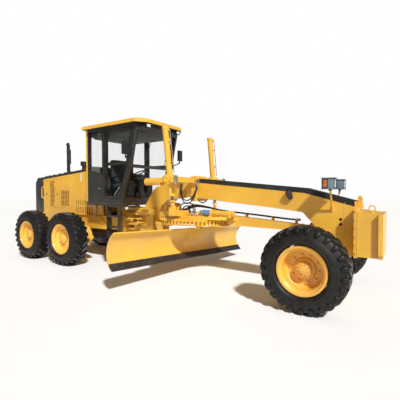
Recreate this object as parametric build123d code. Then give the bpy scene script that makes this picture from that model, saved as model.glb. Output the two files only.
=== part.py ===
from build123d import *
import os
from math import atan2, cos, pi, radians, sin, sqrt

os.makedirs("parts", exist_ok=True)

# Motor grader. Millimetres, +X forward, +Y to the driver's left, +Z up.
# The origin lies on the ground, halfway along the machine's length. Heights in this file are taken
# from a datum below the ground, and save() brings them down to it.

# ---- driving sizes -------------------------------------------------------------------------
WHEELBASE = 6460            # front axle to the middle of the tandem
TANDEM_SPACING = 1520       # between the two rear axles of one side
TANDEM_X = -2720            # middle of the tandem
GROUND_Z = 25               # the ground, above the datum
TYRE_R = 643                # 17.5-25 tyre
TYRE_W = 445
RIM_W = 356                 # 14 inch rim, over the flanges
RIM_R = 365                 # flange radius
FRONT_TRACK = 2190          # between the middles of the tyres
REAR_TRACK = 2360
HITCH_X = -640              # articulation pin
CAB_FLOOR_Z = 1480
CAB_W = 1500
CAB_REAR_X = -1700          # inside of the cab's rear wall
CAB_TOP_Z = 3340
WALL = 60                   # cab walls and doors
BEAM_W = 380                # main frame beam, across
BLADE_LENGTH = 4270
BLADE_CHORD = 652           # moldboard with its cutting edge, straight across the curve
BLADE_R = 405               # radius of the curve
BLADE_PLATE = 22
BLADE_X, BLADE_Z = 1000, 668    # middle of the chord
BLADE_SHIFT = -23           # how far the blade stands off the middle of the circle
BLADE_LEAN = 3              # top of the blade ahead of its edge, degrees
BANK = 3.2                  # how far the drawbar is rolled, right side up, degrees
CIRCLE_TURN = 4.2           # how far the circle is turned, left end of the blade ahead, degrees
CIRCLE_X = 1060             # centre of the circle
CIRCLE_R = 800              # over the tips of the teeth
TEETH = 60

# ---- clearances ----------------------------------------------------------------------------
RUN = 0.5                   # shafts, pins and slides in their holes
DOOR_GAP = 6                # round a door
PLAY = 10                   # beside a moving arm, and between the hood and the cab

# ---- places that follow ----------------------------------------------------------------------
AXLE_Z = GROUND_Z + TYRE_R
FRONT_AXLE_X = TANDEM_X + WHEELBASE
NOSE_X = FRONT_AXLE_X + 560
MID_X = TANDEM_X + TANDEM_SPACING / 2
REAR_X = TANDEM_X - TANDEM_SPACING / 2
FRONT_Y, REAR_Y = FRONT_TRACK / 2, REAR_TRACK / 2


# ---- ways of making a solid ------------------------------------------------------------------
def block(x, y, z):
    """A box between two values on each axis."""
    size = [hi - lo for lo, hi in (x, y, z)]
    return Pos(*[(lo + hi) / 2 for lo, hi in (x, y, z)]) * Box(*size)


def outline(points, corners=0):
    """A face on straight lines, with every corner rounded to one radius."""
    face = make_face(Polyline(*points, close=True))
    return fillet(face.vertices(), corners) if corners else face


def side_cut(points, y, corners=0):
    """An outline in X and Z, extruded between two values of Y."""
    return extrude(Plane.XZ.offset(-y[1]) * outline(points, corners), y[1] - y[0])


def plan_cut(points, z, corners=0):
    """An outline in X and Y, extruded between two values of Z."""
    return extrude(Plane.XY.offset(z[0]) * outline(points, corners), z[1] - z[0])


def end_cut(points, x, corners=0):
    """An outline in Y and Z, extruded between two values of X."""
    return extrude(Plane.YZ.offset(x[0]) * outline(points, corners), x[1] - x[0])


def bar(start, end, radius):
    """A round bar from one point to another."""
    start, end = Vector(*start), Vector(*end)
    place = Plane(origin=start, z_dir=end - start)
    return place * Cylinder(radius, (end - start).length, align=(Align.CENTER, Align.CENTER, Align.MIN))


def pipe(start, end, radius, bore):
    return bar(start, end, radius) - bar(start, end, bore)


def both(shape):
    """A left-hand shape together with its mirror image on the right."""
    return shape + mirror(shape, about=Plane.XZ)


def save(name, shape):
    export_step(Pos(0, 0, -GROUND_Z) * shape, f"parts/{name}.step")


def save_pair(name, shape):
    """Saves a left-hand shape, and its mirror image for the right."""
    save(name + "_left", shape)
    save(name + "_right", mirror(shape, about=Plane.XZ))


# ---- wheels --------------------------------------------------------------------------------
HUB_BORE = 60
BEAD_R = 318


def tyre(x, y):
    """A tyre with bulging sides and rounded shoulders, solid between its beads."""
    half, bead = TYRE_W / 2, RIM_W / 2 - 25
    tread = half - 75           # where the crown ends and the shoulder starts
    widest = (TYRE_R - 200, half)
    right = [(BEAD_R + RUN, bead), (RIM_R + 12, bead)]
    bulge = TangentArc(widest, right[1], tangent=(-1, 0))
    side = TangentArc(widest, (TYRE_R - 60, tread + 48), tangent=(1, 0))
    shoulder = ThreePointArc((TYRE_R - 60, tread + 48), (TYRE_R - 22, tread + 26), (TYRE_R - 5, tread - 15))
    crown = ThreePointArc((TYRE_R - 5, tread - 15), (TYRE_R, 0), (TYRE_R - 5, 15 - tread))
    half_edges = [Line(right[0], right[1]), bulge, side, shoulder]
    other = [mirror(edge, about=Plane.XZ) for edge in half_edges]
    base = Line(right[0], (right[0][0], -right[0][1]))
    face = make_face(half_edges + [crown] + other + [base])
    ring = revolve(face, axis=Axis.Y)
    return Pos(x, y, AXLE_Z) * ring


def rim(x, y, side, disc, hub):
    """A rim with two flanges, a dished disc and a hub.

    The disc's outer face is measured from the middle of the tyre, and the hub's end from the disc.
    The side is 1 for a wheel on the left.
    """
    w = RIM_W / 2
    points = [
        (BEAD_R - 22, -w), (RIM_R, -w), (RIM_R, 20 - w), (BEAD_R, 24 - w), (BEAD_R, w - 24),
        (RIM_R, w - 20), (RIM_R, w), (RIM_R - 22, w), (BEAD_R - 24, w - 40), (BEAD_R - 34, disc + 40),
        (BEAD_R - 70, disc + 8), (170, disc), (150, disc + 0.35 * hub), (110, disc + 0.42 * hub),
        (110, disc + hub), (HUB_BORE + RUN, disc + hub), (HUB_BORE + RUN, disc - HUB_IN),
        (150, disc - HUB_IN), (150, disc - 22),
        (BEAD_R - 70, disc - 22), (BEAD_R - 22, disc - 22),
    ]
    ring = revolve(outline(points), axis=Axis.Y)
    if side < 0:
        ring = mirror(ring, about=Plane.XZ)
    return Pos(x, y, AXLE_Z) * ring


FRONT_DISC, FRONT_HUB = -40, 95
REAR_DISC, REAR_HUB = 50, 40
HUB_IN = 60                 # how far a hub reaches in behind its disc
front_wheel = (FRONT_AXLE_X, FRONT_Y, FRONT_DISC, FRONT_HUB)
mid_wheel, rear_wheel = [(x, REAR_Y, REAR_DISC, REAR_HUB) for x in (MID_X, REAR_X)]
for place, (x, y, disc, hub) in (("front", front_wheel), ("mid", mid_wheel), ("rear", rear_wheel)):
    for name, side in (("left", 1), ("right", -1)):
        save(f"{place}_tyre_{name}", tyre(x, side * y))
        save(f"{place}_rim_{name}", rim(x, side * y, side, disc, hub))

# ---- rear frame ------------------------------------------------------------------------------
RAIL_Z = (850, 1190)
RAIL_Y = 450                # outer face of a rail
RAIL_W = 120
TAIL_X = -4350
HITCH_PLATE_X = -960        # front face of the rear frame's end plate
HITCH_Y = 330
FORK_R = 150
PIN_R = 55
TONGUE = 60                 # thickness of the front frame's two tongues
TONGUES_Z = (905, 1290)     # underside of the lower and of the upper tongue
FORK_PLATE = 50
HITCH_REAR, HITCH_FRONT = Vector(-900, 250, 1130), Vector(-250, 470, 1130)   # articulation cylinder's ends
HITCH_PIN_R = 20

rail = plan_cut(
    [(TAIL_X, RAIL_Y - RAIL_W), (TAIL_X, RAIL_Y), (-1500, RAIL_Y), (-1060, HITCH_Y), (HITCH_PLATE_X, HITCH_Y),
     (HITCH_PLATE_X, HITCH_Y - 70), (-1060, HITCH_Y - 90), (-1500, RAIL_Y - RAIL_W)],
    RAIL_Z,
)
rear_frame = both(rail)
for x in (TAIL_X, -3300, -2200, -1560):
    rear_frame += block((x, x + 120), (RAIL_W - RAIL_Y, RAIL_Y - RAIL_W), (930, 1130))
rear_frame += block((HITCH_PLATE_X - 60, HITCH_PLATE_X), (-HITCH_Y, HITCH_Y), (800, 1440))
pin_hole = bar((HITCH_X, 0, 700), (HITCH_X, 0, 1500), PIN_R + RUN)
for z in TONGUES_Z:
    for low in (z - PLAY - FORK_PLATE, z + TONGUE + PLAY):
        fork = block((HITCH_PLATE_X, HITCH_X), (-FORK_R, FORK_R), (low, low + FORK_PLATE))
        rear_frame += fork + bar((HITCH_X, 0, low), (HITCH_X, 0, low + FORK_PLATE), FORK_R)
rear_frame -= pin_hole
# lugs for the articulation cylinders, one above and one below each
for z in (HITCH_REAR.Z + 50, HITCH_REAR.Z - 75):
    lug = block((HITCH_PLATE_X, HITCH_REAR.X + 45), (HITCH_REAR.Y - 45, HITCH_REAR.Y + 45), (z, z + 25))
    lug -= bar((HITCH_REAR.X, HITCH_REAR.Y, z - 1), (HITCH_REAR.X, HITCH_REAR.Y, z + 26), HITCH_PIN_R + RUN)
    rear_frame += both(lug)
# cab pedestals, with a gusset from each rail to the rear ones
for x, out in ((-1640, RAIL_Y - RAIL_W), (-1080, HITCH_Y)):
    rear_frame += both(block((x, x + 90), (HITCH_Y - 70, out), (RAIL_Z[1] - 10, CAB_FLOOR_Z)))
gusset = [(-1755, RAIL_Z[1] - 10), (-1480, RAIL_Z[1] - 10), (-1540, CAB_FLOOR_Z), (-1690, CAB_FLOOR_Z)]
rear_frame += both(side_cut(gusset, (RAIL_Y - 40, RAIL_Y)))
# pads that stand on the rear axle
axle_pad = block((TANDEM_X - 160, TANDEM_X + 160), (RAIL_Y - RAIL_W, RAIL_Y), (AXLE_Z + 150, RAIL_Z[0]))
rear_frame += both(axle_pad)
save("rear_frame", rear_frame)

# ---- rear axle and tandem cases ----------------------------------------------------------------
CASE_Y = (650, 840)
CASE_R = 285
axle = bar((TANDEM_X, -CASE_Y[0] - 20, AXLE_Z), (TANDEM_X, CASE_Y[0] + 20, AXLE_Z), 150)
axle += Pos(TANDEM_X, 0, AXLE_Z) * Sphere(270)
axle += bar((TANDEM_X + 200, 0, AXLE_Z + 30), (TANDEM_X + 420, 0, AXLE_Z + 60), 110)
axle -= both(block((TANDEM_X - 200, TANDEM_X + 200), (300, 460), (AXLE_Z + 150, AXLE_Z + 300)))
case = block((REAR_X, MID_X), CASE_Y, (AXLE_Z - CASE_R, AXLE_Z + CASE_R - 40))
for x in (REAR_X, MID_X):
    case += bar((x, CASE_Y[0], AXLE_Z), (x, CASE_Y[1], AXLE_Z), CASE_R)
    hub_back = REAR_Y + REAR_DISC - HUB_IN
    case += bar((x, CASE_Y[1], AXLE_Z), (x, hub_back - 5, AXLE_Z), 120)
    case += bar((x, hub_back - 5, AXLE_Z), (x, REAR_Y + REAR_DISC + REAR_HUB - 10, AXLE_Z), HUB_BORE)
case_mid = (CASE_Y[0] + CASE_Y[1]) / 2
case += bar((MID_X + CASE_R - 20, case_mid, AXLE_Z), (MID_X + CASE_R + 70, case_mid, AXLE_Z), 45)
save("tandem_axle", axle + both(case))

# ---- engine and transmission, under the hood ---------------------------------------------------
engine = block((-3950, -2750), (-260, 260), (RAIL_Z[1] + 40, 1900))
for x in (-3850, -2950):
    engine += block((x, x + 120), (-400, 400), (RAIL_Z[1], RAIL_Z[1] + 40))
engine += block((-2080, -1560), (-200, 200), (700, 1180)) + block((-2080, -1560), (-330, 330), (1000, 1060))
save("engine", engine)

# ---- hood ------------------------------------------------------------------------------------
HOOD_X = (-4210, CAB_REAR_X - WALL - PLAY)
HOOD_Y = 450
HOOD_TOP = (2180, 2385)     # top edge of the side sheet at the rear and at the cab
SHEET = 40                  # hood sides and doors
DOORS_X = ((-4150, -3620), (-3560, -2850))   # rear and front door on each side
DOOR_FOOT_Z = 1345          # the doors swing out over the tyres


def hood_top(x, drop=0):
    """Height of the hood's sloping top edge."""
    share = (x - HOOD_X[0]) / (HOOD_X[1] - HOOD_X[0])
    return HOOD_TOP[0] + share * (HOOD_TOP[1] - HOOD_TOP[0]) - drop


def hood_door(x, gap=0):
    points = [(x[0] + gap, DOOR_FOOT_Z + gap), (x[1] - gap, DOOR_FOOT_Z + gap),
              (x[1] - gap, hood_top(x[1], 60 + gap)), (x[0] + gap, hood_top(x[0], 60 + gap))]
    return side_cut(points, (HOOD_Y - SHEET, HOOD_Y))


hood_outline = [(HOOD_X[0], RAIL_Z[1]), (HOOD_X[1], RAIL_Z[1]), (HOOD_X[1], HOOD_TOP[1]),
                (HOOD_X[0], HOOD_TOP[0])]
hood_side = side_cut(hood_outline, (HOOD_Y - SHEET, HOOD_Y))
HINGE_R, HINGE_PIN_R = 12, 6
for x in DOORS_X:
    hood_side -= hood_door(x)
hood = both(hood_side)
hood += block((HOOD_X[0], HOOD_X[0] + 50), (SHEET - HOOD_Y, HOOD_Y - SHEET), (2090, 2150))
bulkhead_x = HOOD_X[1] - SHEET
hood += block((bulkhead_x, HOOD_X[1]), (SHEET - HOOD_Y, HOOD_Y - SHEET), (1250, hood_top(bulkhead_x)))
# hinge tubes stand proud of the side at the front edge of each door
hinge_y = HOOD_Y + HINGE_R + 2


def hood_hinges(x, on_door):
    """Three-part hinges at the front edge; the middle part is the door's."""
    shape = None
    bore = HINGE_PIN_R + (RUN if on_door else 0)
    for z in (1400, 1950):
        for low, mine in ((z, False), (z + 41, True), (z + 82, False)):
            if mine == on_door:
                knuckle = pipe((x, hinge_y, low), (x, hinge_y, low + 40), HINGE_R, bore)
                leaf = block((x - 30, x) if on_door else (x, x + 30), (HOOD_Y, HOOD_Y + 6), (low, low + 40))
                leaf -= bar((x, hinge_y, low - 1), (x, hinge_y, low + 41), bore)
                shape = knuckle + leaf if shape is None else shape + knuckle + leaf
        if not on_door:
            shape += bar((x, hinge_y, z), (x, hinge_y, z + 122), HINGE_PIN_R)
    return shape


for place, x in zip(("rear", "front"), DOORS_X):
    edge = x[1] + DOOR_GAP / 2
    hood += both(hood_hinges(edge, False))
    save_pair(f"hood_door_{place}", hood_door(x, DOOR_GAP) + hood_hinges(edge, True))
save("hood_frame", hood)

COWL_X, COWL_Y = (-4700, HOOD_X[0]), 420
COVER_H = (75, 70)          # how thick the cover is at the rear and at the cab
cover_rear_z = HOOD_TOP[0] + COVER_H[0]
cowl_side = [(COWL_X[0], RAIL_Z[1]), (COWL_X[1], RAIL_Z[1]), (COWL_X[1], HOOD_TOP[0]),
             (COWL_X[1], cover_rear_z), (COWL_X[0] + 120, cover_rear_z - 20), (COWL_X[0], 2080)]
cowl = side_cut(cowl_side, (-COWL_Y, COWL_Y))
cowl -= block((COWL_X[0] + 60, COWL_X[1]), (50 - COWL_Y, COWL_Y - 50), (1240, 2130))
cowl -= block((COWL_X[0], COWL_X[0] + 60), (90 - COWL_Y, COWL_Y - 90), (1300, 2000))
cover_side = [(HOOD_X[0], HOOD_TOP[0]), (HOOD_X[1], HOOD_TOP[1]), (HOOD_X[1], HOOD_TOP[1] + COVER_H[1]),
              (HOOD_X[0], cover_rear_z)]
cover = side_cut(cover_side, (10 - HOOD_Y, HOOD_Y - 10))
pipe_x, pipe_top, intake_x = -3620, 3230, -2850
cover += pipe((pipe_x, 0, 2240), (pipe_x, 0, pipe_top), 48, 42)
cover += bar((intake_x, 0, 2330), (intake_x, 0, 2560), 70)
cover += bar((intake_x, 0, 2560), (intake_x, 0, 2680), 105)
save("hood_cover", cowl + cover)

# ---- cab -------------------------------------------------------------------------------------
CAB_FRONT = ((-460, 1620), (-210, 2390), (0, CAB_TOP_Z))   # the front face: sill, bend and top
B_POST_X = (-1145, -1065)
half = CAB_W / 2
profile = [(CAB_REAR_X, CAB_FLOOR_Z), (CAB_FRONT[0][0], CAB_FLOOR_Z)] + list(CAB_FRONT)
profile += [(CAB_REAR_X, CAB_TOP_Z)]


def front_at(z, back=0):
    """X of the cab's front face at a height, moved back by a distance."""
    low, high = (CAB_FRONT[0], CAB_FRONT[1]) if z < CAB_FRONT[1][1] else (CAB_FRONT[1], CAB_FRONT[2])
    return low[0] + (high[0] - low[0]) * (z - low[1]) / (high[1] - low[1]) - back


def front_edge(low, high, back):
    """Points up the front face between two heights, through its bend."""
    middle = [(front_at(CAB_FRONT[1][1], back), CAB_FRONT[1][1])] if low < CAB_FRONT[1][1] < high else []
    return [(front_at(low, back), low)] + middle + [(front_at(high, back), high)]


SILL_Z, HEAD_Z = CAB_FLOOR_Z + 160, CAB_TOP_Z - 75      # foot and head of the door openings
WINDSCREEN_Z = (SILL_Z + 40, CAB_TOP_Z - 160)
cab = side_cut(profile, (-half, half))
FLOOR_TOP = CAB_FLOOR_Z + 120
room = [(CAB_REAR_X - 1, FLOOR_TOP)] + front_edge(FLOOR_TOP, CAB_TOP_Z - 50, WALL)
room += [(CAB_REAR_X - 1, CAB_TOP_Z - 50)]
cab -= side_cut(room, (WALL - half, half - WALL))
door_hole = [(B_POST_X[1], SILL_Z)] + front_edge(SILL_Z, HEAD_Z, 80) + [(B_POST_X[1], HEAD_Z)]
quarter = [(CAB_REAR_X + 60, 2345), (B_POST_X[0], 2220), (B_POST_X[0], HEAD_Z), (CAB_REAR_X + 60, HEAD_Z)]
for points in (door_hole, quarter):
    cab -= side_cut(points, (-half - 1, half + 1))
MID_BAR_Z = (2360, 2430)
panes_z = ((WINDSCREEN_Z[0], MID_BAR_Z[0]), (MID_BAR_Z[1], WINDSCREEN_Z[1]))
for low, high in panes_z:
    hole = front_edge(low, high, 100) + front_edge(low, high, -40)[::-1]
    cab -= side_cut(hole, (WALL + 15 - half, half - WALL - 15))
hinge_x, cab_hinge_y = B_POST_X[1] + DOOR_GAP / 2, half + 16


def cab_hinges(on_door):
    shape = None
    for z in (1760, 2980):
        for low, mine in ((z, False), (z + 51, True), (z + 102, False)):
            if mine == on_door:
                bore = 7 + (RUN if on_door else 0)
                knuckle = pipe((hinge_x, cab_hinge_y, low), (hinge_x, cab_hinge_y, low + 50), 14, bore)
                leaf = block((hinge_x, hinge_x + 50) if on_door else (hinge_x - 50, hinge_x),
                             (half, half + 8), (low, low + 50))
                knuckle += leaf - bar((hinge_x, cab_hinge_y, low - 1), (hinge_x, cab_hinge_y, low + 51), bore)
                shape = knuckle if shape is None else shape + knuckle
        if not on_door:
            shape += bar((hinge_x, cab_hinge_y, z), (hinge_x, cab_hinge_y, z + 152), 7)
    return shape


cab += both(cab_hinges(False))
save("cab_frame", cab)


def door_outline(inset, low, high):
    return [(B_POST_X[1] + inset, low)] + front_edge(low, high, 80 + inset) + [(B_POST_X[1] + inset, high)]


door = side_cut(door_outline(DOOR_GAP, SILL_Z + DOOR_GAP, HEAD_Z - DOOR_GAP), (half - WALL, half))
frame_w = 60
door -= side_cut(door_outline(frame_w, 2500, HEAD_Z - frame_w), (half - WALL - 1, half + 1))
low_hole = [(B_POST_X[1] + frame_w, 1710), (-720, 1710), (front_at(1900, 80 + frame_w), 1900)]
low_hole += front_edge(1901, 2430, 80 + frame_w)[1:] + [(B_POST_X[1] + frame_w, 2430)]
door -= side_cut(low_hole, (half - WALL - 1, half + 1))
save_pair("cab_door", door + cab_hinges(True))

# rear wall of the cab, a sheet with a window
REAR_WINDOW_Z = (2450, WINDSCREEN_Z[1])
rear_wall = block((CAB_REAR_X - WALL, CAB_REAR_X), (-half, half), (1570, CAB_TOP_Z))
rear_wall -= block((CAB_REAR_X - WALL - 1, CAB_REAR_X + 1), (2 * WALL - half, half - 2 * WALL), REAR_WINDOW_Z)
save("cab_rear_wall", rear_wall)

ROOF_X, ROOF_Y, ROOF_T = (-1800, 200), half + 95, 95
roof_half = [(ROOF_X[0], ROOF_Y), (ROOF_X[1] - 170, ROOF_Y), (ROOF_X[1], ROOF_Y - 225)]
roof = plan_cut(roof_half + [(x, -y) for x, y in roof_half[::-1]], (CAB_TOP_Z, CAB_TOP_Z + ROOF_T))
roof = chamfer(roof.edges().group_by(Axis.Z)[-1], 25, 60)
save("cab_roof", roof)

# fixed panes, let into their openings
PANE = 6


def pane_y(points):
    return both(side_cut(points, (half - WALL / 2 - PANE / 2, half - WALL / 2 + PANE / 2)))


glass = pane_y(quarter)
for low, high in panes_z:
    sheet = front_edge(low, high, (WALL + PANE) / 2) + front_edge(low, high, (WALL - PANE) / 2)[::-1]
    glass += side_cut(sheet, (WALL + 15 - half, half - WALL - 15))
rear_pane_x = CAB_REAR_X - WALL / 2
rear_pane_y = (2 * WALL - half, half - 2 * WALL)
glass += block((rear_pane_x - PANE / 2, rear_pane_x + PANE / 2), rear_pane_y, REAR_WINDOW_Z)
save("cab_glass", glass)

# operator's chair: pedestal, cushion and back as one plain solid
chair = block((-1330, -930), (-180, 180), (FLOOR_TOP, 1880)) + block((-1400, -860), (-260, 260), (1880, 2020))
chair += side_cut([(-1400, 2020), (-1270, 2020), (-1340, 2640), (-1450, 2640)], (-250, 250))
save("operator_chair", chair)

# steering column with its wheel, and the lever boxes beside it
wheel_c, tilt = Vector(-640, 0, 2230), 30
column = side_cut([(-620, FLOOR_TOP), (-540, FLOOR_TOP), (-615, 2230), (-665, 2230)], (-70, 70))
wheel = Torus(190, 15) + Cylinder(40, 50) + Box(370, 30, 14) + Box(30, 370, 14)
console = column + Pos(wheel_c.X, 0, wheel_c.Z) * Rot(Y=-tilt) * wheel
for y in (-1, 1):
    console += block((-740, -600), (y * 330 - 90, y * 330 + 90), (FLOOR_TOP, 2060))
save("control_console", console)

# ---- ladders -----------------------------------------------------------------------------------
LADDER_X, LADDER_Y, LADDER_Z = (-830, -450), (half + 10, half + 150), (720, CAB_FLOOR_Z)
ladder = None
for x in (LADDER_X[0], LADDER_X[1] - 12):
    rail_side = block((x, x + 12), LADDER_Y, LADDER_Z)
    ladder = rail_side if ladder is None else ladder + rail_side
for z in (740, 980, 1220):
    ladder += block(LADDER_X, LADDER_Y, (z, z + 30))
ladder += block((LADDER_X[0], LADDER_X[1]), (600, LADDER_Y[1]), (CAB_FLOOR_Z - 20, CAB_FLOOR_Z))
save("ladders", both(ladder))

# ---- mirrors and roof lamps --------------------------------------------------------------------
mirror_y = half + 210
mirror_arm = bar((-190, half - 1, 2470), (-120, mirror_y, 2560), 14)
mirror_arm += bar((-120, mirror_y, 2555), (-120, mirror_y, 2700), 14)
mirror_arm -= block((-400, 100), (0, half), (2300, 2600))
mirror_head = block((-135, -95), (mirror_y - 60, mirror_y + 100), (2620, 2900))
save("mirrors", both(mirror_arm + mirror_head))
lamp = block((90, 170), (470, 600), (CAB_TOP_Z - 105, CAB_TOP_Z - 20))
lamp += block((120, 140), (525, 545), (CAB_TOP_Z - 20, CAB_TOP_Z))
save("work_lamps", both(lamp))

# ---- main frame ----------------------------------------------------------------------------------
POST_X, POST_FOOT = -340, 850
beam_half = BEAM_W / 2
BALL = (FRONT_AXLE_X - 140, 0, 1135)    # the drawbar's ball
BALL_R = 60
throat_x = BALL[0] + 90     # where the underside drops to the nose
beam_side = [
    (POST_X, POST_FOOT), (-300, 1440), (-20, 1840), (90, 1915), (740, 2080), (1230, 2080),
    (NOSE_X - 810, 1860), (NOSE_X, 1640), (NOSE_X, 760), (NOSE_X - 300, 760), (NOSE_X - 300, 1000),
    (BALL[0] - 40, 1000), (BALL[0] - 40, 1050), (throat_x, 1050), (throat_x, 1190), (throat_x - 230, 1440),
    (throat_x - 840, 1510), (1090, 1680), (700, 1665), (420, 1620), (230, 1480), (130, 1330),
    (100, POST_FOOT),
]
beam = side_cut(beam_side, (-beam_half, beam_half))
TONGUE_BACK = POST_X + 40
POST_HALF = 300             # half the width of the post's foot
beam += block((POST_X, 60), (-POST_HALF, POST_HALF), (POST_FOOT, 1400))
for z in TONGUES_Z:
    tongue = block((HITCH_X, TONGUE_BACK), (-FORK_R, FORK_R), (z, z + TONGUE))
    beam += tongue + bar((HITCH_X, 0, z), (HITCH_X, 0, z + TONGUE), FORK_R)
    beam += bar((HITCH_X, 0, z - PLAY - FORK_PLATE), (HITCH_X, 0, z + TONGUE + PLAY + FORK_PLATE), PIN_R)
# lugs with a pin for each articulation cylinder's rod
front_lug = bar(HITCH_FRONT - Vector(0, 0, 60), HITCH_FRONT + Vector(0, 0, 60), HITCH_PIN_R)
for z in (HITCH_FRONT.Z + 35, HITCH_FRONT.Z - 60):
    lug_x, lug_y = (HITCH_FRONT.X - 45, HITCH_FRONT.X + 60), (POST_HALF - 1, HITCH_FRONT.Y + 45)
    front_lug += block(lug_x, lug_y, (z, z + 25))
beam += both(front_lug)
# axle pivot: a pin along X held by two hangers under the nose
PIVOT_Z, PIVOT_R = 880, 45
HANGERS_X = ((FRONT_AXLE_X - 155, FRONT_AXLE_X - 105), (FRONT_AXLE_X + 105, FRONT_AXLE_X + 155))
for x in HANGERS_X:
    beam += end_cut([(-120, PIVOT_Z - 70), (120, PIVOT_Z - 70), (150, 1010), (-150, 1010)], x)
beam -= bar((HANGERS_X[0][0] - 1, 0, PIVOT_Z), (HANGERS_X[1][1] + 1, 0, PIVOT_Z), PIVOT_R + RUN)
# socket for the drawbar's ball, open to the rear
beam += block((BALL[0] - 10, BALL[0] + 100), (-110, 110), (BALL[2] - 90, BALL[2] + 100))
beam -= Pos(*BALL) * Sphere(BALL_R + RUN)
save("gooseneck", beam)

# ---- push block at the front -------------------------------------------------------------------
PUSH_Y, PUSH_X, PUSH_Z = 400, (NOSE_X, NOSE_X + 340), (790, 1505)
PUSH_WALL = 25
FLANGE_T, FLANGE_Z = 50, (770, 1540)
PUSH_FALL = 50              # how far the box's top falls towards its front
front_top = PUSH_Z[1] - PUSH_FALL
push = block((PUSH_X[0], PUSH_X[0] + FLANGE_T), (-PUSH_Y, PUSH_Y), FLANGE_Z)
push_side = [(PUSH_X[0], PUSH_Z[0]), (PUSH_X[1], PUSH_Z[0]), (PUSH_X[1], front_top), (PUSH_X[0], PUSH_Z[1])]
push += side_cut(push_side, (-PUSH_Y, PUSH_Y))
push_room = [(PUSH_X[0] + FLANGE_T, PUSH_Z[0] - 1), (PUSH_X[1] - 1, PUSH_Z[0] - 1),
             (PUSH_X[1] - 1, front_top - PUSH_WALL), (PUSH_X[0] + FLANGE_T, PUSH_Z[1] - PUSH_WALL)]
push -= side_cut(push_room, (PUSH_WALL - PUSH_Y, PUSH_Y - PUSH_WALL))
face_half = PUSH_Y + 70
face = [(-face_half, PUSH_Z[0] + 60), (40 - face_half, PUSH_Z[0]), (face_half - 40, PUSH_Z[0]),
        (face_half, PUSH_Z[0] + 60), (face_half, front_top + 5), (-face_half, front_top + 5)]
push += end_cut(face, (PUSH_X[1], PUSH_X[1] + 60))
push_lug = [(0, FLANGE_Z[1]), (90, FLANGE_Z[1]), (60, FLANGE_Z[1] + 190), (20, FLANGE_Z[1] + 190)]
push += side_cut([(PUSH_X[0] + x, z) for x, z in push_lug], (-60, 60))
save("push_block", push)

# ---- lift saddle on the beam -------------------------------------------------------------------
TRUNNION = (1012, 832, 2050)
TRUNNION_R = 22
LIFT_BALL = (1053, 832, 1500)   # before the drawbar is rolled
SADDLE_X = (1092, 1222)


def lift_ball(side):
    """Centre of a lift cylinder's ball on the rolled drawbar."""
    x, y, z = LIFT_BALL[0], side * LIFT_BALL[1], LIFT_BALL[2] - BALL[2]
    a = radians(-BANK)
    return (x, y * cos(a) - z * sin(a), BALL[2] + y * sin(a) + z * cos(a))


BARREL_R, ROD_R, BARREL_TOP, BARREL_FOOT = 62, 32, 3113, 1712
BALL_END = 52               # the rod's end cap stops this far from the middle of its ball
saddle = block(SADDLE_X, (-beam_half - 40, beam_half + 40), (1600, 2130))
saddle -= side_cut(beam_side, (-beam_half, beam_half))
EAR_X, EAR_W = SADDLE_X[0] - 165, 40
ears = [TRUNNION[1] + offset for offset in (-120, 80)]      # inner face of each ear beside the barrel
arm = block(SADDLE_X, (beam_half, ears[1] + EAR_W), (1990, 2100))
for y in ears:
    arm += block((EAR_X, SADDLE_X[0]), (y, y + EAR_W), (1990, 2110))
tube_x = (EAR_X - 560, EAR_X - 100)
arm += bar((tube_x[0], TRUNNION[1], 2015), (tube_x[1], TRUNNION[1], 2015), 75)
arm += block((tube_x[1] - 60, tube_x[1]), (TRUNNION[1] - 10, ears[1] + EAR_W), (1960, 2070))
arm += block((tube_x[1] - 10, EAR_X), (ears[1], ears[1] + EAR_W), (1990, 2070))
trunnion_ends = [(TRUNNION[0], y, TRUNNION[2]) for y in (ears[0] - 1, ears[1] + EAR_W + 1)]
arm -= bar(*trunnion_ends, TRUNNION_R + RUN)
save("lift_saddle", saddle + both(arm))

# ---- lift cylinders ------------------------------------------------------------------------------
for name, side in (("left", 1), ("right", -1)):
    top = Vector(TRUNNION[0], side * TRUNNION[1], TRUNNION[2])
    foot = Vector(*lift_ball(side))
    along = (foot - top).normalized()
    head = top - along * (BARREL_TOP - TRUNNION[2])
    mouth = top + along * (TRUNNION[2] - BARREL_FOOT)
    barrel = bar(head, mouth, BARREL_R)
    barrel += bar((top.X, top.Y - 105, top.Z), (top.X, top.Y + 105, top.Z), TRUNNION_R)
    barrel -= bar(head + along * 30, mouth + along, ROD_R + RUN)
    save(f"lift_barrel_{name}", barrel)
    stem = bar(head + along * 160, foot - along * (BALL_END + 30), ROD_R)
    eye = bar(foot - along * (BALL_END + 32), foot - along * BALL_END, 55)
    save(f"lift_rod_{name}", stem + eye)

# ---- head lamps ----------------------------------------------------------------------------------
LAMP_X, LAMP_Y, LAMP_FOOT_Z = NOSE_X - 350, 430, 1840
lamp_post = block((LAMP_X - 20, LAMP_X + 20), (beam_half, beam_half + 12), (1480, 1560))
lamp_post += bar((LAMP_X, beam_half + 15, 1500), (LAMP_X + 10, LAMP_Y, LAMP_FOOT_Z), 16)
lamp_post -= block((LAMP_X - 150, LAMP_X + 150), (-beam_half, beam_half), (1400, 1700))
lamp_head = block((LAMP_X - 100, LAMP_X + 80), (LAMP_Y - 100, LAMP_Y + 100), (LAMP_FOOT_Z, LAMP_FOOT_Z + 180))
save("head_lamps", both(lamp_post + lamp_head))

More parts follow.
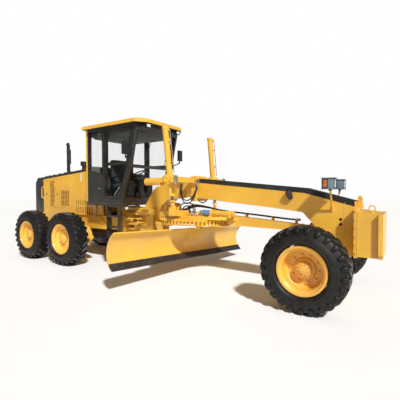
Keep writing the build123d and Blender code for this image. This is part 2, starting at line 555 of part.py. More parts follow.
# ---- front axle ----------------------------------------------------------------------------------
LEAN_Y, LEAN_Z, KING_Y = 740, 600, 800
LEAN_PIN_R, KING_R = 38, 40
AXLE_X = (FRONT_AXLE_X - 125, FRONT_AXLE_X + 125)
EYE_R = 62                  # the eyes that take the lean pins
axle_half = [(320, 800), (620, LEAN_Z - EYE_R), (LEAN_Y, LEAN_Z - EYE_R), (LEAN_Y, LEAN_Z + EYE_R),
             (640, LEAN_Z + 90), (300, 975)]
front_axle = end_cut(axle_half + [(-y, z) for y, z in axle_half[::-1]], AXLE_X)
for side in (-1, 1):
    y = side * LEAN_Y
    front_axle += bar((AXLE_X[0], y, LEAN_Z), (AXLE_X[1], y, LEAN_Z), EYE_R)
    # the end is a fork that takes the leaning spider
    front_axle -= block((FRONT_AXLE_X - 95, FRONT_AXLE_X + 95), sorted((side * 590, side * 900)), (400, 900))
    front_axle -= bar((FRONT_AXLE_X - 200, y, LEAN_Z), (FRONT_AXLE_X + 200, y, LEAN_Z), LEAN_PIN_R + RUN)
for x in HANGERS_X:
    front_axle -= block((x[0] - PLAY, x[1] + PLAY), (-200, 200), (780, 1000))
front_axle += bar((HANGERS_X[0][0], 0, PIVOT_Z), (HANGERS_X[1][1], 0, PIVOT_Z), PIVOT_R)
save("front_axle", front_axle)

# leaning spider: fore-and-aft lean pin, upright kingpin, and a lever for the lean bar
LEVER_X, LEVER_Z = (FRONT_AXLE_X + 130, FRONT_AXLE_X + 155), 860
spider = block((FRONT_AXLE_X - 85, FRONT_AXLE_X + 85), (KING_Y - 110, KING_Y + 55), (540, 700))
spider += bar((FRONT_AXLE_X - 130, LEAN_Y, LEAN_Z), (LEVER_X[1], LEAN_Y, LEAN_Z), LEAN_PIN_R)
spider += bar((FRONT_AXLE_X, KING_Y, 450), (FRONT_AXLE_X, KING_Y, 770), KING_R)
lever_end = [(LEAN_Y - 45, LEAN_Z - 40), (LEAN_Y + 45, LEAN_Z - 40), (LEAN_Y + 30, LEVER_Z + 30),
             (LEAN_Y - 30, LEVER_Z + 30)]
save_pair("lean_spider", spider + end_cut(lever_end, LEVER_X))

BAR_X = LEVER_X[1] + RUN
lean_bar = bar((BAR_X + 22, -LEAN_Y, LEVER_Z), (BAR_X + 22, LEAN_Y, LEVER_Z), 20)
for side in (-1, 1):
    lean_bar += bar((BAR_X, side * LEAN_Y, LEVER_Z), (BAR_X + 44, side * LEAN_Y, LEVER_Z), 32)
save("lean_bar", lean_bar)

# steering knuckle: a fork on the kingpin, the spindle, and an arm to a ball on the lean pin's line
ARM_X, ARM_Z, ARM_BALL = FRONT_AXLE_X - 330, (LEAN_Z, LEAN_Z + 35), 21
fork_low, fork_top, web_y = (455, 490), (725, 765), (KING_Y + 140, KING_Y + 180)
knuckle = block((FRONT_AXLE_X - 60, FRONT_AXLE_X + 60), web_y, (fork_low[0], fork_top[1]))
for z in (fork_low, fork_top):
    knuckle += block((FRONT_AXLE_X - 60, FRONT_AXLE_X + 60), (KING_Y, web_y[1]), z)
    knuckle += bar((FRONT_AXLE_X, KING_Y, z[0]), (FRONT_AXLE_X, KING_Y, z[1]), 60)
spindle_end = FRONT_Y + FRONT_DISC + FRONT_HUB - 10
hub_back = FRONT_Y + FRONT_DISC - HUB_IN
knuckle += bar((FRONT_AXLE_X, web_y[0], AXLE_Z), (FRONT_AXLE_X, hub_back - 5, AXLE_Z), 90)
knuckle += bar((FRONT_AXLE_X, web_y[0], AXLE_Z), (FRONT_AXLE_X, spindle_end, AXLE_Z), HUB_BORE)
arm_plan = [(FRONT_AXLE_X - 40, web_y[1]), (FRONT_AXLE_X - 40, web_y[0]), (FRONT_AXLE_X - 200, KING_Y + 100),
            (ARM_X + 20, LEAN_Y - 24), (ARM_X - 20, LEAN_Y + 24), (FRONT_AXLE_X - 230, KING_Y + 135)]
knuckle += plan_cut(arm_plan, ARM_Z)
knuckle += bar((ARM_X, LEAN_Y, ARM_Z[0]), (ARM_X, LEAN_Y, ARM_Z[1]), 30)
knuckle += Pos(ARM_X, LEAN_Y, LEAN_Z) * Sphere(ARM_BALL)
knuckle -= bar((FRONT_AXLE_X, KING_Y, 400), (FRONT_AXLE_X, KING_Y, 800), KING_R + RUN)
save_pair("knuckle", knuckle)

TIE_Z = LEAN_Z - ARM_BALL - RUN - 22
tie = bar((ARM_X, -LEAN_Y, TIE_Z), (ARM_X, LEAN_Y, TIE_Z), 18)
for side in (-1, 1):
    tie += bar((ARM_X, side * LEAN_Y, TIE_Z - 22), (ARM_X, side * LEAN_Y, TIE_Z + 22), 28)
save("tie_rod", tie)


# ---- drawbar group: made level, then rolled about the ball ---------------------------------------
def rolled(shape):
    return Pos(*BALL) * Rot(X=-BANK) * Pos(*[-c for c in BALL]) * shape


def swung(shape):
    """Turned with the circle about its upright axis, then rolled with the drawbar."""
    return rolled(Pos(CIRCLE_X, 0, 0) * Rot(Z=-CIRCLE_TURN) * Pos(-CIRCLE_X, 0, 0) * shape)


RING_Z = (1160, 1215)
PLATE_Z = (RING_Z[1] + RUN, RING_Z[1] + 60)
drawbar_side = [(BALL[0] - 40, 1085), (BALL[0] - 40, 1195), (2440, 1280), (1500, 1345), (1300, PLATE_Z[1]),
                (1300, PLATE_Z[0]), (CIRCLE_X + CIRCLE_R + 60, PLATE_Z[0]), (CIRCLE_X + CIRCLE_R + 80, 1120),
                (2440, 1105)]
drawbar = side_cut(drawbar_side, (-110, 110))
drawbar += Pos(*BALL) * Sphere(BALL_R)
plate_half = [(2150, 110), (1750, 480), (1300, 620), (700, 620), (560, 420)]
drawbar += plan_cut(plate_half + [(x, -y) for x, y in plate_half[::-1]], PLATE_Z)
drawbar -= bar((CIRCLE_X, 0, PLATE_Z[0] - 1), (CIRCLE_X, 0, PLATE_Z[1] + 200), 260)
lift_x, lift_y = LIFT_BALL[:2]
lug = block((lift_x - 60, lift_x + 60), (250, lift_y + 40), (PLATE_Z[1], PLATE_Z[1] + 110))
lug += block((lift_x - 60, lift_x + 60), (lift_y - 40, lift_y + 40), (PLATE_Z[1], 1440))
lug += bar((lift_x, lift_y, 1430), (lift_x, lift_y, 1470), 24)
lug += Pos(*LIFT_BALL) * Sphere(45)
drawbar += both(lug)
# circle drive: gearbox and motor standing on the plate
drawbar += block((600, 780), (-330, -120), (PLATE_Z[1], 1430)) + bar((690, -225, 1430), (690, -225, 1500), 80)
# shoes that carry the circle from inside
INNER_R = CIRCLE_R - 160
LIP_Z = (1120, 1160)        # the circle's inward lip, which the shoes carry
for a in (45, 135, 225, 315):
    shoe = block((INNER_R - 120, INNER_R - 45), (-70, 70), (LIP_Z[0] - 25, PLATE_Z[0]))
    shoe += block((INNER_R - 120, INNER_R - 15), (-70, 70), (LIP_Z[0] - 25, LIP_Z[0] - RUN))
    drawbar += Pos(CIRCLE_X, 0, 0) * Rot(Z=a) * shoe
save("drawbar", rolled(drawbar))

# ---- circle: toothed ring with two arms down to the blade ------------------------------------------
root_r = CIRCLE_R - 38
step = 2 * pi / TEETH
tooth_line = []
for i in range(TEETH):
    for share, r in ((-0.32, root_r), (-0.16, CIRCLE_R), (0.16, CIRCLE_R), (0.32, root_r)):
        a = (i + share) * step
        tooth_line.append((r * cos(a), r * sin(a)))
gear = extrude(Plane.XY.offset(RING_Z[0]) * outline(tooth_line), RING_Z[1] - RING_Z[0])
gear -= Pos(0, 0, RING_Z[0]) * Cylinder(INNER_R, 200)
lip = Cylinder(INNER_R + 90, LIP_Z[1] - LIP_Z[0]) - Cylinder(INNER_R - 40, 50)
lip = Pos(0, 0, (LIP_Z[0] + LIP_Z[1]) / 2) * lip
circle = Pos(CIRCLE_X, 0, 0) * (gear + lip)
LEG_Y = (INNER_R, INNER_R + 60)
arc_x = BLADE_X + sqrt(BLADE_R ** 2 - (BLADE_CHORD / 2) ** 2)    # centre of the blade's curve
back_x = arc_x - BLADE_R - BLADE_PLATE
PIN_X, PIN_Z, PITCH_R = back_x - 130, 500, 30                    # pins the carrier tips on


def leaned(shape):
    """Tipped forward about the carrier's pins."""
    return Pos(PIN_X, 0, PIN_Z) * Rot(Y=BLADE_LEAN) * Pos(-PIN_X, 0, -PIN_Z) * shape


leg_side = [(PIN_X - 60, PIN_Z - 20), (PIN_X - 30, PIN_Z - 55), (PIN_X + 30, PIN_Z - 55), (PIN_X + 55, PIN_Z),
            (PIN_X + 20, 650), (PIN_X + 20, 900), (PIN_X + 77, 1050), (950, 1057), (CIRCLE_X + 60, LIP_Z[0]),
            (CIRCLE_X - 560, LIP_Z[0]), (PIN_X - 90, 900)]
leg = side_cut(leg_side, LEG_Y)
leg -= bar((PIN_X, LEG_Y[0] - 5, PIN_Z), (PIN_X, LEG_Y[1] + 5, PIN_Z), PITCH_R + RUN)
save("circle", swung(circle))
save("circle_arms", swung(both(leg)))

# ---- blade carrier: pivots on the arms, and guides the blade ---------------------------------------
RAILS_Z = (BLADE_Z - 170, BLADE_Z + 170)
RAIL_H, RAIL_DEPTH = 25, 40                 # half the height of a rail, and how far it stands in
SHIFT_X, SHIFT_R, SHIFT_ROD = back_x - 52, 40, 20
rail_x = back_x - RAIL_DEPTH
PLATE_Y = (LEG_Y[0] - 80, LEG_Y[0] - RUN)
plate = side_cut([(PIN_X - 45, PIN_Z), (PIN_X - 20, PIN_Z - 45), (back_x - 10, BLADE_Z - 225),
                  (back_x - 10, BLADE_Z + 225), (rail_x - 40, BLADE_Z + 225)], PLATE_Y)
for z in RAILS_Z:
    rail_room = (z - RAIL_H - RUN, z + RAIL_H + RUN)
    plate -= block((rail_x - RUN, back_x + 60), (PLATE_Y[0] - 60, LEG_Y[1]), rail_room)
plate += bar((PIN_X, PLATE_Y[0], PIN_Z), (PIN_X, LEG_Y[1] + 10, PIN_Z), PITCH_R)
carrier = both(plate)
carrier += block((rail_x - 40, rail_x - 15), (-PLATE_Y[0], PLATE_Y[0]), (BLADE_Z + 150, BLADE_Z + 225))
carrier += bar((SHIFT_X, -PLATE_Y[1], BLADE_Z), (SHIFT_X, PLATE_Y[1], BLADE_Z), SHIFT_R)
carrier -= bar((SHIFT_X, -LEG_Y[1], BLADE_Z), (SHIFT_X, LEG_Y[1], BLADE_Z), SHIFT_ROD + RUN)
save("blade_carrier", swung(leaned(carrier)))

# ---- moldboard -------------------------------------------------------------------------------------
EDGE_H = 150                # cutting edge, up the face
EDGE_T = 20
RAIL_REACH = 1300           # half the length of the rails on the blade's back
blade_y = (BLADE_SHIFT - BLADE_LENGTH / 2, BLADE_SHIFT + BLADE_LENGTH / 2)
half_angle = atan2(BLADE_CHORD / 2, arc_x - BLADE_X)
edge_angle = EDGE_H / BLADE_R


def on_arc(radius, angle):
    return (arc_x - radius * cos(angle), BLADE_Z + radius * sin(angle))


def curved(r1, r2, low, high):
    """A band of the blade's curve between two radii and two angles above the middle."""
    mid = (low + high) / 2
    edges = [
        ThreePointArc(on_arc(r1, low), on_arc(r1, mid), on_arc(r1, high)),
        Line(on_arc(r1, high), on_arc(r2, high)),
        ThreePointArc(on_arc(r2, high), on_arc(r2, mid), on_arc(r2, low)),
        Line(on_arc(r2, low), on_arc(r1, low)),
    ]
    return extrude(Plane.XZ.offset(-blade_y[1]) * make_face(edges), blade_y[1] - blade_y[0])


board = curved(BLADE_R, BLADE_R + BLADE_PLATE, 60 / BLADE_R - half_angle, half_angle)
hollow = bar((arc_x, -RAIL_REACH - 100, BLADE_Z), (arc_x, RAIL_REACH + 100, BLADE_Z), BLADE_R + 5)
for z in RAILS_Z:
    board += block((rail_x, back_x + 60), (-RAIL_REACH, RAIL_REACH), (z - RAIL_H, z + RAIL_H)) - hollow
bracket = block((SHIFT_X - 40, back_x + 10), (-RAIL_REACH - 40, -RAIL_REACH), (BLADE_Z - 60, BLADE_Z + 60))
board += bracket + bar((SHIFT_X, -RAIL_REACH - 10, BLADE_Z), (SHIFT_X, 60, BLADE_Z), SHIFT_ROD)
save("moldboard", swung(leaned(board)))
edge = curved(BLADE_R - EDGE_T, BLADE_R - RUN, -half_angle, edge_angle - half_angle)
save("cutting_edge", swung(leaned(edge)))

# ---- articulation cylinders ------------------------------------------------------------------------
along = (HITCH_FRONT - HITCH_REAR).normalized()
barrel = bar(HITCH_REAR - along * 10, HITCH_REAR + along * 440, 45)
barrel += bar(HITCH_REAR - Vector(0, 0, 80), HITCH_REAR + Vector(0, 0, 80), HITCH_PIN_R)
barrel -= bar(HITCH_REAR + along * 60, HITCH_REAR + along * 441, 25 + RUN)
save_pair("hitch_barrel", barrel)
rod_end = HITCH_FRONT - along * (HITCH_PIN_R + 20)
save_pair("hitch_rod", bar(HITCH_REAR + along * 230, rod_end, 25))
print("built")
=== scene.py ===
from math import atan2, cos, pi, radians, sin

import bmesh
import bpy
from mathutils import Matrix, Vector


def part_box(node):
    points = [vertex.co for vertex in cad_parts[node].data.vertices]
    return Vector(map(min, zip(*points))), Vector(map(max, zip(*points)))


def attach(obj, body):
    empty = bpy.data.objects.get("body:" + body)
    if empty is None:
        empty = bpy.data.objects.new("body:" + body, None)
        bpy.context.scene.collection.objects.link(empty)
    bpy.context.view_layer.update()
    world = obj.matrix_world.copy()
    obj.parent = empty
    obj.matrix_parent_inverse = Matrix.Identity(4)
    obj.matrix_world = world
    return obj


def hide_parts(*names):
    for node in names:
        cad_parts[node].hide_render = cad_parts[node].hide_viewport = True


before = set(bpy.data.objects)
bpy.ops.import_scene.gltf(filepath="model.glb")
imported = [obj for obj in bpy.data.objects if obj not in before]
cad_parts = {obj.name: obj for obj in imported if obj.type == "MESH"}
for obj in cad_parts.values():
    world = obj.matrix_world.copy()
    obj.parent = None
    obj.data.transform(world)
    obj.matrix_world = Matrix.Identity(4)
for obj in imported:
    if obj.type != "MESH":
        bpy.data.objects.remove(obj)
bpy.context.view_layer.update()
X, Y, Z = Vector((1, 0, 0)), Vector((0, 1, 0)), Vector((0, 0, 1))

# ---- camera, floor and light ----
# The camera stands low and close ahead of the machine on its right. A pale floor holds the shadow,
# a sun with a soft edge stands high ahead on the right, and a warm, weak sky fills in the rest.
CAMERA_PLACE = (4.9888, -5.7427, 1.7857)
CAMERA_TURN, CAMERA_TILT, CAMERA_ROLL = radians(33.446), -0.023793, -0.002578
SUN_FROM = Vector((0.6, -0.42, 0.68))
SKY, SKY_TINT = 0.25, (1, 0.86, 0.7, 1)


def placed(name, data):
    """An object in the scene, sitting at the origin."""
    made = bpy.data.objects.new(name, data)
    bpy.context.scene.collection.objects.link(made)
    return made


lens = bpy.data.cameras.new("camera")
lens.lens, lens.sensor_width = 28.143, 36
lens.shift_x, lens.shift_y = -0.0017, -0.00314
camera = placed("camera", lens)
across = Vector((cos(CAMERA_TURN), sin(CAMERA_TURN), 0))
level = Vector((-sin(CAMERA_TURN), cos(CAMERA_TURN), 0))
ahead = level * cos(CAMERA_TILT) + Z * sin(CAMERA_TILT)
facing = Matrix((across, across.cross(ahead), -ahead)).transposed().to_4x4()
camera.matrix_world = Matrix.Translation(CAMERA_PLACE) @ facing @ Matrix.Rotation(CAMERA_ROLL, 4, "Z")
bpy.context.scene.camera = camera
bpy.context.scene.view_settings.view_transform = "Standard"


class Pattern:
    """A value that changes over a surface. Arithmetic on it adds the maths to the finish."""

    def __init__(self, finish, socket):
        self.finish, self.socket = finish, socket

    def maths(self, operation, first, second=0.0, clamp=False):
        settings = {"operation": operation, "use_clamp": clamp}
        return self.finish.node("ShaderNodeMath", settings, {0: first, 1: second})

    def __add__(self, other):
        return self.maths("ADD", self, other)

    def __sub__(self, other):
        return self.maths("SUBTRACT", self, other)

    def __rsub__(self, other):
        return self.maths("SUBTRACT", other, self)

    def __mul__(self, other):
        return self.maths("MULTIPLY", self, other)

    def __pow__(self, other):
        return self.maths("POWER", self, other)

    def wave(self):
        return self.maths("SINE", self)

    def held(self):
        """Kept between 0 and 1."""
        return self.maths("ADD", self, 0.0, clamp=True)

    def rise(self, low, high):
        """0 below one value and 1 above the other, with a smooth step between them."""
        ends = {"Value": self, "From Min": low, "From Max": high}
        return self.finish.node("ShaderNodeMapRange", {"interpolation_type": "SMOOTHSTEP"}, ends)

    __radd__, __rmul__ = __add__, __mul__


class Finish:
    """A material: one shader, and the patterns that feed it."""

    def __init__(self, name, **constants):
        self.material = bpy.data.materials.new(name)
        self.material.use_nodes = True
        self.tree = self.material.node_tree
        self.tree.nodes.clear()
        values = {key.replace("_", " "): value for key, value in constants.items()}
        self.shader = self.node("ShaderNodeBsdfPrincipled", {}, values)
        self.node("ShaderNodeOutputMaterial", {}, {"Surface": self.shader}, None)

    def node(self, kind, settings, sockets, output=0):
        """Adds a node, sets what it does and what goes into it, and gives back one of its outputs."""
        new = self.tree.nodes.new(kind)
        for key, value in settings.items():
            setattr(new, key, value)
        for key, value in sockets.items():
            if isinstance(value, Pattern):
                self.tree.links.new(value.socket, new.inputs[key])
            else:
                new.inputs[key].default_value = value
        return None if output is None else Pattern(self, new.outputs[output])

    def feed(self, **patterns):
        """Links patterns to the shader's sockets."""
        for key, value in patterns.items():
            self.tree.links.new(value.socket, self.shader.socket.node.inputs[key.replace("_", " ")])

    def place(self):
        """Where a point is on the object at rest, in metres."""
        return self.node("ShaderNodeTexCoord", {}, {}, "Object")

    def mapped(self, **change):
        return self.node("ShaderNodeMapping", {}, {"Vector": self.place(), **change})

    def axis(self, which, where=None):
        return self.node("ShaderNodeSeparateXYZ", {}, {"Vector": where or self.place()}, which)

    def noise(self, scale, detail=2.0, where=None, roughness=0.5):
        sockets = {"Scale": scale, "Detail": detail, "Roughness": roughness}
        return self.node("ShaderNodeTexNoise", {}, {"Vector": where or self.place(), **sockets})

    def mix(self, share, one, other):
        """A colour between two colours."""
        return self.node("ShaderNodeMix", {"data_type": "RGBA"}, {0: share, 6: one, 7: other}, 2)

    def relief(self, height, depth, strength=1.0, under=None):
        """Small unevenness of the surface; height is 0 to 1 and depth is in metres."""
        sockets = {"Height": height, "Distance": depth, "Strength": strength}
        return self.node("ShaderNodeBump", {}, sockets | ({"Normal": under} if under else {}))


def colour(red, green, blue):
    """A colour written as on a colour chart, 0 to 255, for a shader."""
    parts = (red / 255, green / 255, blue / 255)
    return (*(((part + 0.055) / 1.055) ** 2.4 if part > 0.04 else part / 12.92 for part in parts), 1)


floor = bmesh.new()
bmesh.ops.create_grid(floor, x_segments=1, y_segments=1, size=60)
floor_mesh = bpy.data.meshes.new("studio_floor")
floor.to_mesh(floor_mesh)
floor.free()
pale = Finish("studio_floor", Base_Color=(0.9, 0.915, 0.93, 1), Roughness=0.9, Specular_IOR_Level=0.1)
floor_mesh.materials.append(pale.material)
placed("studio_floor", floor_mesh)

sun = bpy.data.lights.new("soft_lamp", "SUN")
sun.energy, sun.angle = 4.0, radians(4)
placed("soft_lamp", sun).rotation_euler = SUN_FROM.to_track_quat("Z", "Y").to_euler()

# The sky is plain white where it is seen, also through glass, and gives a weaker, warm light.
sky = bpy.data.worlds.new("white_sky")
bpy.context.scene.world = sky
sky.use_nodes = True
nodes, link = sky.node_tree.nodes, sky.node_tree.links.new
kinds = ("LightPath", "Math", "MapRange", "Mix")
rays, seen, shade, tint = [nodes.new("ShaderNode" + kind) for kind in kinds]
seen.operation, seen.use_clamp = "ADD", True
shade.inputs["To Min"].default_value = SKY
tint.data_type = "RGBA"
tint.inputs["A"].default_value, tint.inputs["B"].default_value = SKY_TINT, (1, 1, 1, 1)
link(rays.outputs["Is Camera Ray"], seen.inputs[0])
link(rays.outputs["Is Transmission Ray"], seen.inputs[1])
link(seen.outputs[0], shade.inputs["Value"])
link(seen.outputs[0], tint.inputs["Factor"])
link(shade.outputs[0], nodes["Background"].inputs["Strength"])
link(tint.outputs["Result"], nodes["Background"].inputs["Color"])

# ---- paint on the frames ----
# The steelwork is welded plate in a thick coat of yellow enamel with a slight orange peel. Dust lies
# over it towards the ground and in patches, and dulls the gloss there.
ENAMEL, ENAMEL_DEEP, DUST = colour(240, 188, 66), colour(232, 174, 50), colour(196, 170, 128)


def enamel(name, colour_high, colour_low, gloss=0.34):
    """Sprayed enamel: two close shades in broad drifts under dust, over orange peel and dents."""
    finish = Finish(name, Coat_Weight=0.25, Coat_Roughness=0.12)
    clean = finish.mix(finish.noise(1.3, 3).rise(0.3, 0.7), colour_high, colour_low)
    rough = gloss + finish.noise(9, 3) * 0.12
    patches = finish.noise(2.6, 6, roughness=0.62)
    cover = ((1 - finish.axis("Z").rise(0.25, 1.9)) * 0.35 + 0.06) * patches.rise(0.36, 0.72)
    fine = finish.noise(38, 5, roughness=0.7).rise(0.3, 0.8)
    share = (cover * (fine * 0.5 + 0.6)).held()
    finish.feed(Base_Color=finish.mix(share, clean, DUST), Roughness=share * 0.45 + rough)
    bumps = finish.relief(finish.noise(7, 2), 0.004, 0.25)
    finish.feed(Normal=finish.relief(finish.noise(230, 2), 0.00035, 0.6, bumps))
    return finish.material


machine_yellow = enamel("machine_yellow", ENAMEL, ENAMEL_DEEP)
cab_grey = enamel("cab_grey", colour(31, 32, 34), colour(24, 25, 27), 0.3)
satin_black = enamel("satin_black", colour(27, 28, 30), colour(20, 20, 22), 0.42)


def coat(finish, *nodes):
    """Puts a finish on nodes that keep their own shape."""
    for node in nodes:
        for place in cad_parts[node].material_slots:
            place.material = finish


coat(machine_yellow, "rear_frame", "hood_frame", "gooseneck", "push_block", "lift_saddle", "drawbar")
coat(machine_yellow, "circle", "circle_arms", "blade_carrier", "front_axle", "tandem_axle", "lean_bar")
coat(machine_yellow, "tie_rod", "cab_roof", "cab_rear_wall", "head_lamps")
coat(cab_grey, "cab_frame", "ladders")
coat(satin_black, "hood_cover", "mirrors", "control_console", "work_lamps")
for side in ("left", "right"):
    for node in ("hood_door_front", "hood_door_rear", "lean_spider", "knuckle", "lift_barrel"):
        coat(machine_yellow, f"{node}_{side}")
    coat(machine_yellow, f"hitch_barrel_{side}")
    coat(cab_grey, f"cab_door_{side}")

# ---- tyres ----
# Tubeless lugged tyres of black rubber, 1.29 m high. Each is moulded in one: a carcass with rings on
# its sides, and two staggered rows of lugs that sweep back from the middle and run down the shoulder.
TYRE_R = 0.643
GROOVE = 0.034              # how deep the tread is
LUGS = 25                   # on each side of the tread
SWEEP, SHOULDER = 0.25, 0.62
WHEELS = [(place, side) for place in ("front", "mid", "rear") for side in ("left", "right")]
FIRST_LUG = {"front": 4, "mid": 9, "rear": 2}       # where each wheel stopped, degrees
# half the outline of the carcass, from the middle of the tread to the bead
CARCASS = (
    (0, 0.609), (0.12, 0.607), (0.15, 0.599), (0.168, 0.572), (0.184, 0.54), (0.1975, 0.51),
    (0.205, 0.492), (0.2085, 0.488), (0.211, 0.478), (0.2095, 0.473), (0.2165, 0.455), (0.22, 0.44),
    (0.2185, 0.424), (0.2205, 0.421), (0.218, 0.412), (0.208, 0.399), (0.199, 0.394), (0.19, 0.385),
    (0.171, 0.379), (0.1545, 0.378),
)
# a lug's way across the tread: share of its length, distance from the middle, drop below the crown
LUG_WAY = ((0.0, -0.016, 0.0), (0.5, 0.132, 0.005), (0.68, 0.173, 0.022), (0.85, 0.195, 0.06),
           (1.0, 0.204, 0.1))


def wheel_centre(place, side):
    low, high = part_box(f"{place}_tyre_{side}")
    return (low + high) / 2


def rubber(name, centre):
    """Tyre rubber: grey dust in the grooves and on the sides; lug tops worn clean, shiny and painted lighter
    as a highlight.
    """
    finish = Finish(name, Specular_IOR_Level=0.35)
    where = finish.mapped(Location=-centre)
    spread = (finish.axis("X", where) ** 2.0 + finish.axis("Z", where) ** 2.0) ** 0.5
    top = spread.rise(TYRE_R - 0.016, TYRE_R - 0.004)
    wall = 1 - spread.rise(TYRE_R - 0.12, TYRE_R - 0.05)
    blotch = finish.noise(7, 5, roughness=0.65).rise(0.3, 0.75)
    grime = (blotch * 0.38 + 0.07) * (1 - top * 0.8) + wall * blotch * 0.12
    # the lug tops are painted a lighter grey than the carcass: a painted highlight
    clean = finish.mix(top * 0.6, colour(13, 13, 14), colour(36, 35, 37))
    finish.feed(Base_Color=finish.mix(grime.held(), clean, colour(42, 38, 33)))
    finish.feed(Roughness=grime * 0.25 + 0.46 - top * 0.16)
    ring_band = spread.rise(0.455, 0.46) * (1 - spread.rise(0.505, 0.51))
    rings = (spread * 900.0).wave() * ring_band
    rough = finish.relief(rings * 0.5 + 0.5, 0.0012, 0.6)
    finish.feed(Normal=finish.relief(finish.noise(120, 4), 0.001, 0.8, rough))
    return finish.material


def painted(name, bm, finish, body="rear_machine", sharp=35):
    """Makes a piece of a bmesh: faces outwards, smooth but for its sharp edges, riding on a body."""
    bmesh.ops.recalc_face_normals(bm, faces=bm.faces)
    mesh = bpy.data.meshes.new(name)
    bm.to_mesh(mesh)
    bm.free()
    mesh.polygons.foreach_set("use_smooth", [True] * len(mesh.polygons))
    mesh.set_sharp_from_angle(angle=radians(sharp))
    mesh.materials.append(finish)
    piece = placed(name, mesh)
    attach(piece, body)
    return piece


def moved(bm, verts, matrix):
    bmesh.ops.transform(bm, matrix=matrix, verts=verts)
    return verts


def turned(bm, profile, place, along, steps=48):
    """Turns a profile of (distance along the axis, radius) pairs about an axis through a place."""
    along, place = Vector(along).normalized(), Vector(place)
    side = along.orthogonal().normalized()
    verts = [bm.verts.new(place + along * step + side * radius) for step, radius in profile]
    edges = [bm.edges.new(pair) for pair in zip(verts, verts[1:])]
    bmesh.ops.spin(bm, geom=verts + edges, cent=place, axis=along, angle=2 * pi, steps=steps, use_merge=True)
    whole, fringe = set(verts), list(verts)
    while fringe:
        fringe = list({e.other_vert(v) for v in fringe for e in v.link_edges} - whole)
        whole.update(fringe)
    bmesh.ops.remove_doubles(bm, verts=list(whole), dist=1e-5)


def tread_point(along, across, up, sign):
    """A point on the tread: along 0 (middle) to 1 (foot of the lug on the side), across -1 to 1."""
    pairs = zip(LUG_WAY, LUG_WAY[1:])
    (s0, out0, drop0), (s1, out1, drop1) = next(pair for pair in pairs if along <= pair[1][0])
    share = (along - s0) / (s1 - s0)
    out, drop = out0 + share * (out1 - out0), drop0 + share * (drop1 - drop0)
    lean = atan2(drop1 - drop0, out1 - out0)
    grown = min(along / SHOULDER, 1.0)
    width = 0.05 + 0.016 * grown - 0.02 * max((along - SHOULDER) / (1 - SHOULDER), 0.0)
    sink = GROOVE * (1 - up) * (1 if along < 0.7 else 0.75)
    radius = TYRE_R - drop - sink * cos(lean)
    angle = SWEEP * grown ** 0.85 + across * width * (1 + 0.14 * (1 - up))
    return radius * cos(angle), sign * (out - sink * sin(lean)), radius * sin(angle)


def lug(bm, sign):
    """One lug, bent from a flat grid: its outer rows of vertices sink into the carcass."""
    grid = bmesh.ops.create_grid(bm, x_segments=9, y_segments=5, size=1)["verts"]
    rows = sorted({round(v.co.y, 3) for v in grid})
    spans = sorted({round(v.co.x, 3) for v in grid})
    across_at = dict(zip(rows, (-1.0, -0.86, -0.7, 0.7, 0.86, 1.0)))
    along_at = dict(zip(spans, (0.0, 0.02, 0.2, 0.38, 0.5, 0.6, 0.7, 0.85, 0.97, 1.0)))
    height_at = {-1.0: -0.15, 1.0: -0.15, -0.86: 0.84, 0.86: 0.84, -0.7: 1.0, 0.7: 1.0}
    for v in grid:
        across, along = across_at[round(v.co.y, 3)], along_at[round(v.co.x, 3)]
        v.co = tread_point(along, across, height_at[across] if 0.0 < along < 1.0 else -0.15, sign)
    return grid


pattern_mesh = bmesh.new()
for sign in (-1, 1):
    first = lug(pattern_mesh, sign)
    moved(pattern_mesh, first, Matrix.Rotation((pi / LUGS if sign > 0 else 0), 4, "Y"))
    geom = first + list({f for v in first for f in v.link_faces})
    for turn in range(1, LUGS):
        copy = bmesh.ops.duplicate(pattern_mesh, geom=geom)
        copied = [v for v in copy["geom"] if isinstance(v, bmesh.types.BMVert)]
        moved(pattern_mesh, copied, Matrix.Rotation(2 * pi * turn / LUGS, 4, "Y"))
outline = [(-out, radius) for out, radius in CARCASS[::-1]] + list(CARCASS[1:])
turned(pattern_mesh, outline + [outline[0]], (0, 0, 0), Y, 120)
bmesh.ops.recalc_face_normals(pattern_mesh, faces=pattern_mesh.faces)
tyre_pattern = bpy.data.meshes.new("tyre_pattern")
pattern_mesh.to_mesh(tyre_pattern)
pattern_mesh.free()
for place, side in WHEELS:
    centre = wheel_centre(place, side)
    tyre = bmesh.new()
    tyre.from_mesh(tyre_pattern)
    turn = Matrix.Rotation(radians(FIRST_LUG[place]), 4, "Y")
    if side == "left":
        turn = turn @ Matrix.Scale(-1, 4, Y)
    moved(tyre, tyre.verts, Matrix.Translation(centre) @ turn)
    skin = rubber(f"rubber_{place}_{side}", centre)
    piece = painted(f"{place}_lug_tyre_{side}", tyre, skin, f"{place}_wheel_{side}")
    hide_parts(f"{place}_tyre_{side}")
bpy.data.meshes.remove(tyre_pattern)

# ---- rims ----
# Steel rims for the tubeless tyres: a dish welded into a drop-centre barrel, a ring of wheel nuts and
# a hub cap. They are enamelled like the frame, and a lock ring closes the outer flange.
HUB_RINGS = {
    "front": [(-0.02, 0.0), (-0.02, 0.058), (0.004, 0.058), (0.006, 0.094), (0.016, 0.094), (0.024, 0.086),
              (0.024, 0.06), (0.04, 0.052), (0.04, 0.03), (0.046, 0.026), (0.046, 0.0)],
    "rear": [(-0.02, 0.0), (-0.02, 0.058), (0.002, 0.058), (0.004, 0.108), (0.012, 0.108), (0.02, 0.098),
             (0.034, 0.07), (0.044, 0.036), (0.048, 0.0)],
}
LOCK_RING = [(0.158, 0.331), (0.168, 0.324), (0.181, 0.331), (0.184, 0.34), (0.18, 0.3585),
             (0.172, 0.3605), (0.158, 0.331)]
BARREL_STEP = [(0.1, 0.299), (0.112, 0.292), (0.124, 0.299), (0.1, 0.299)]


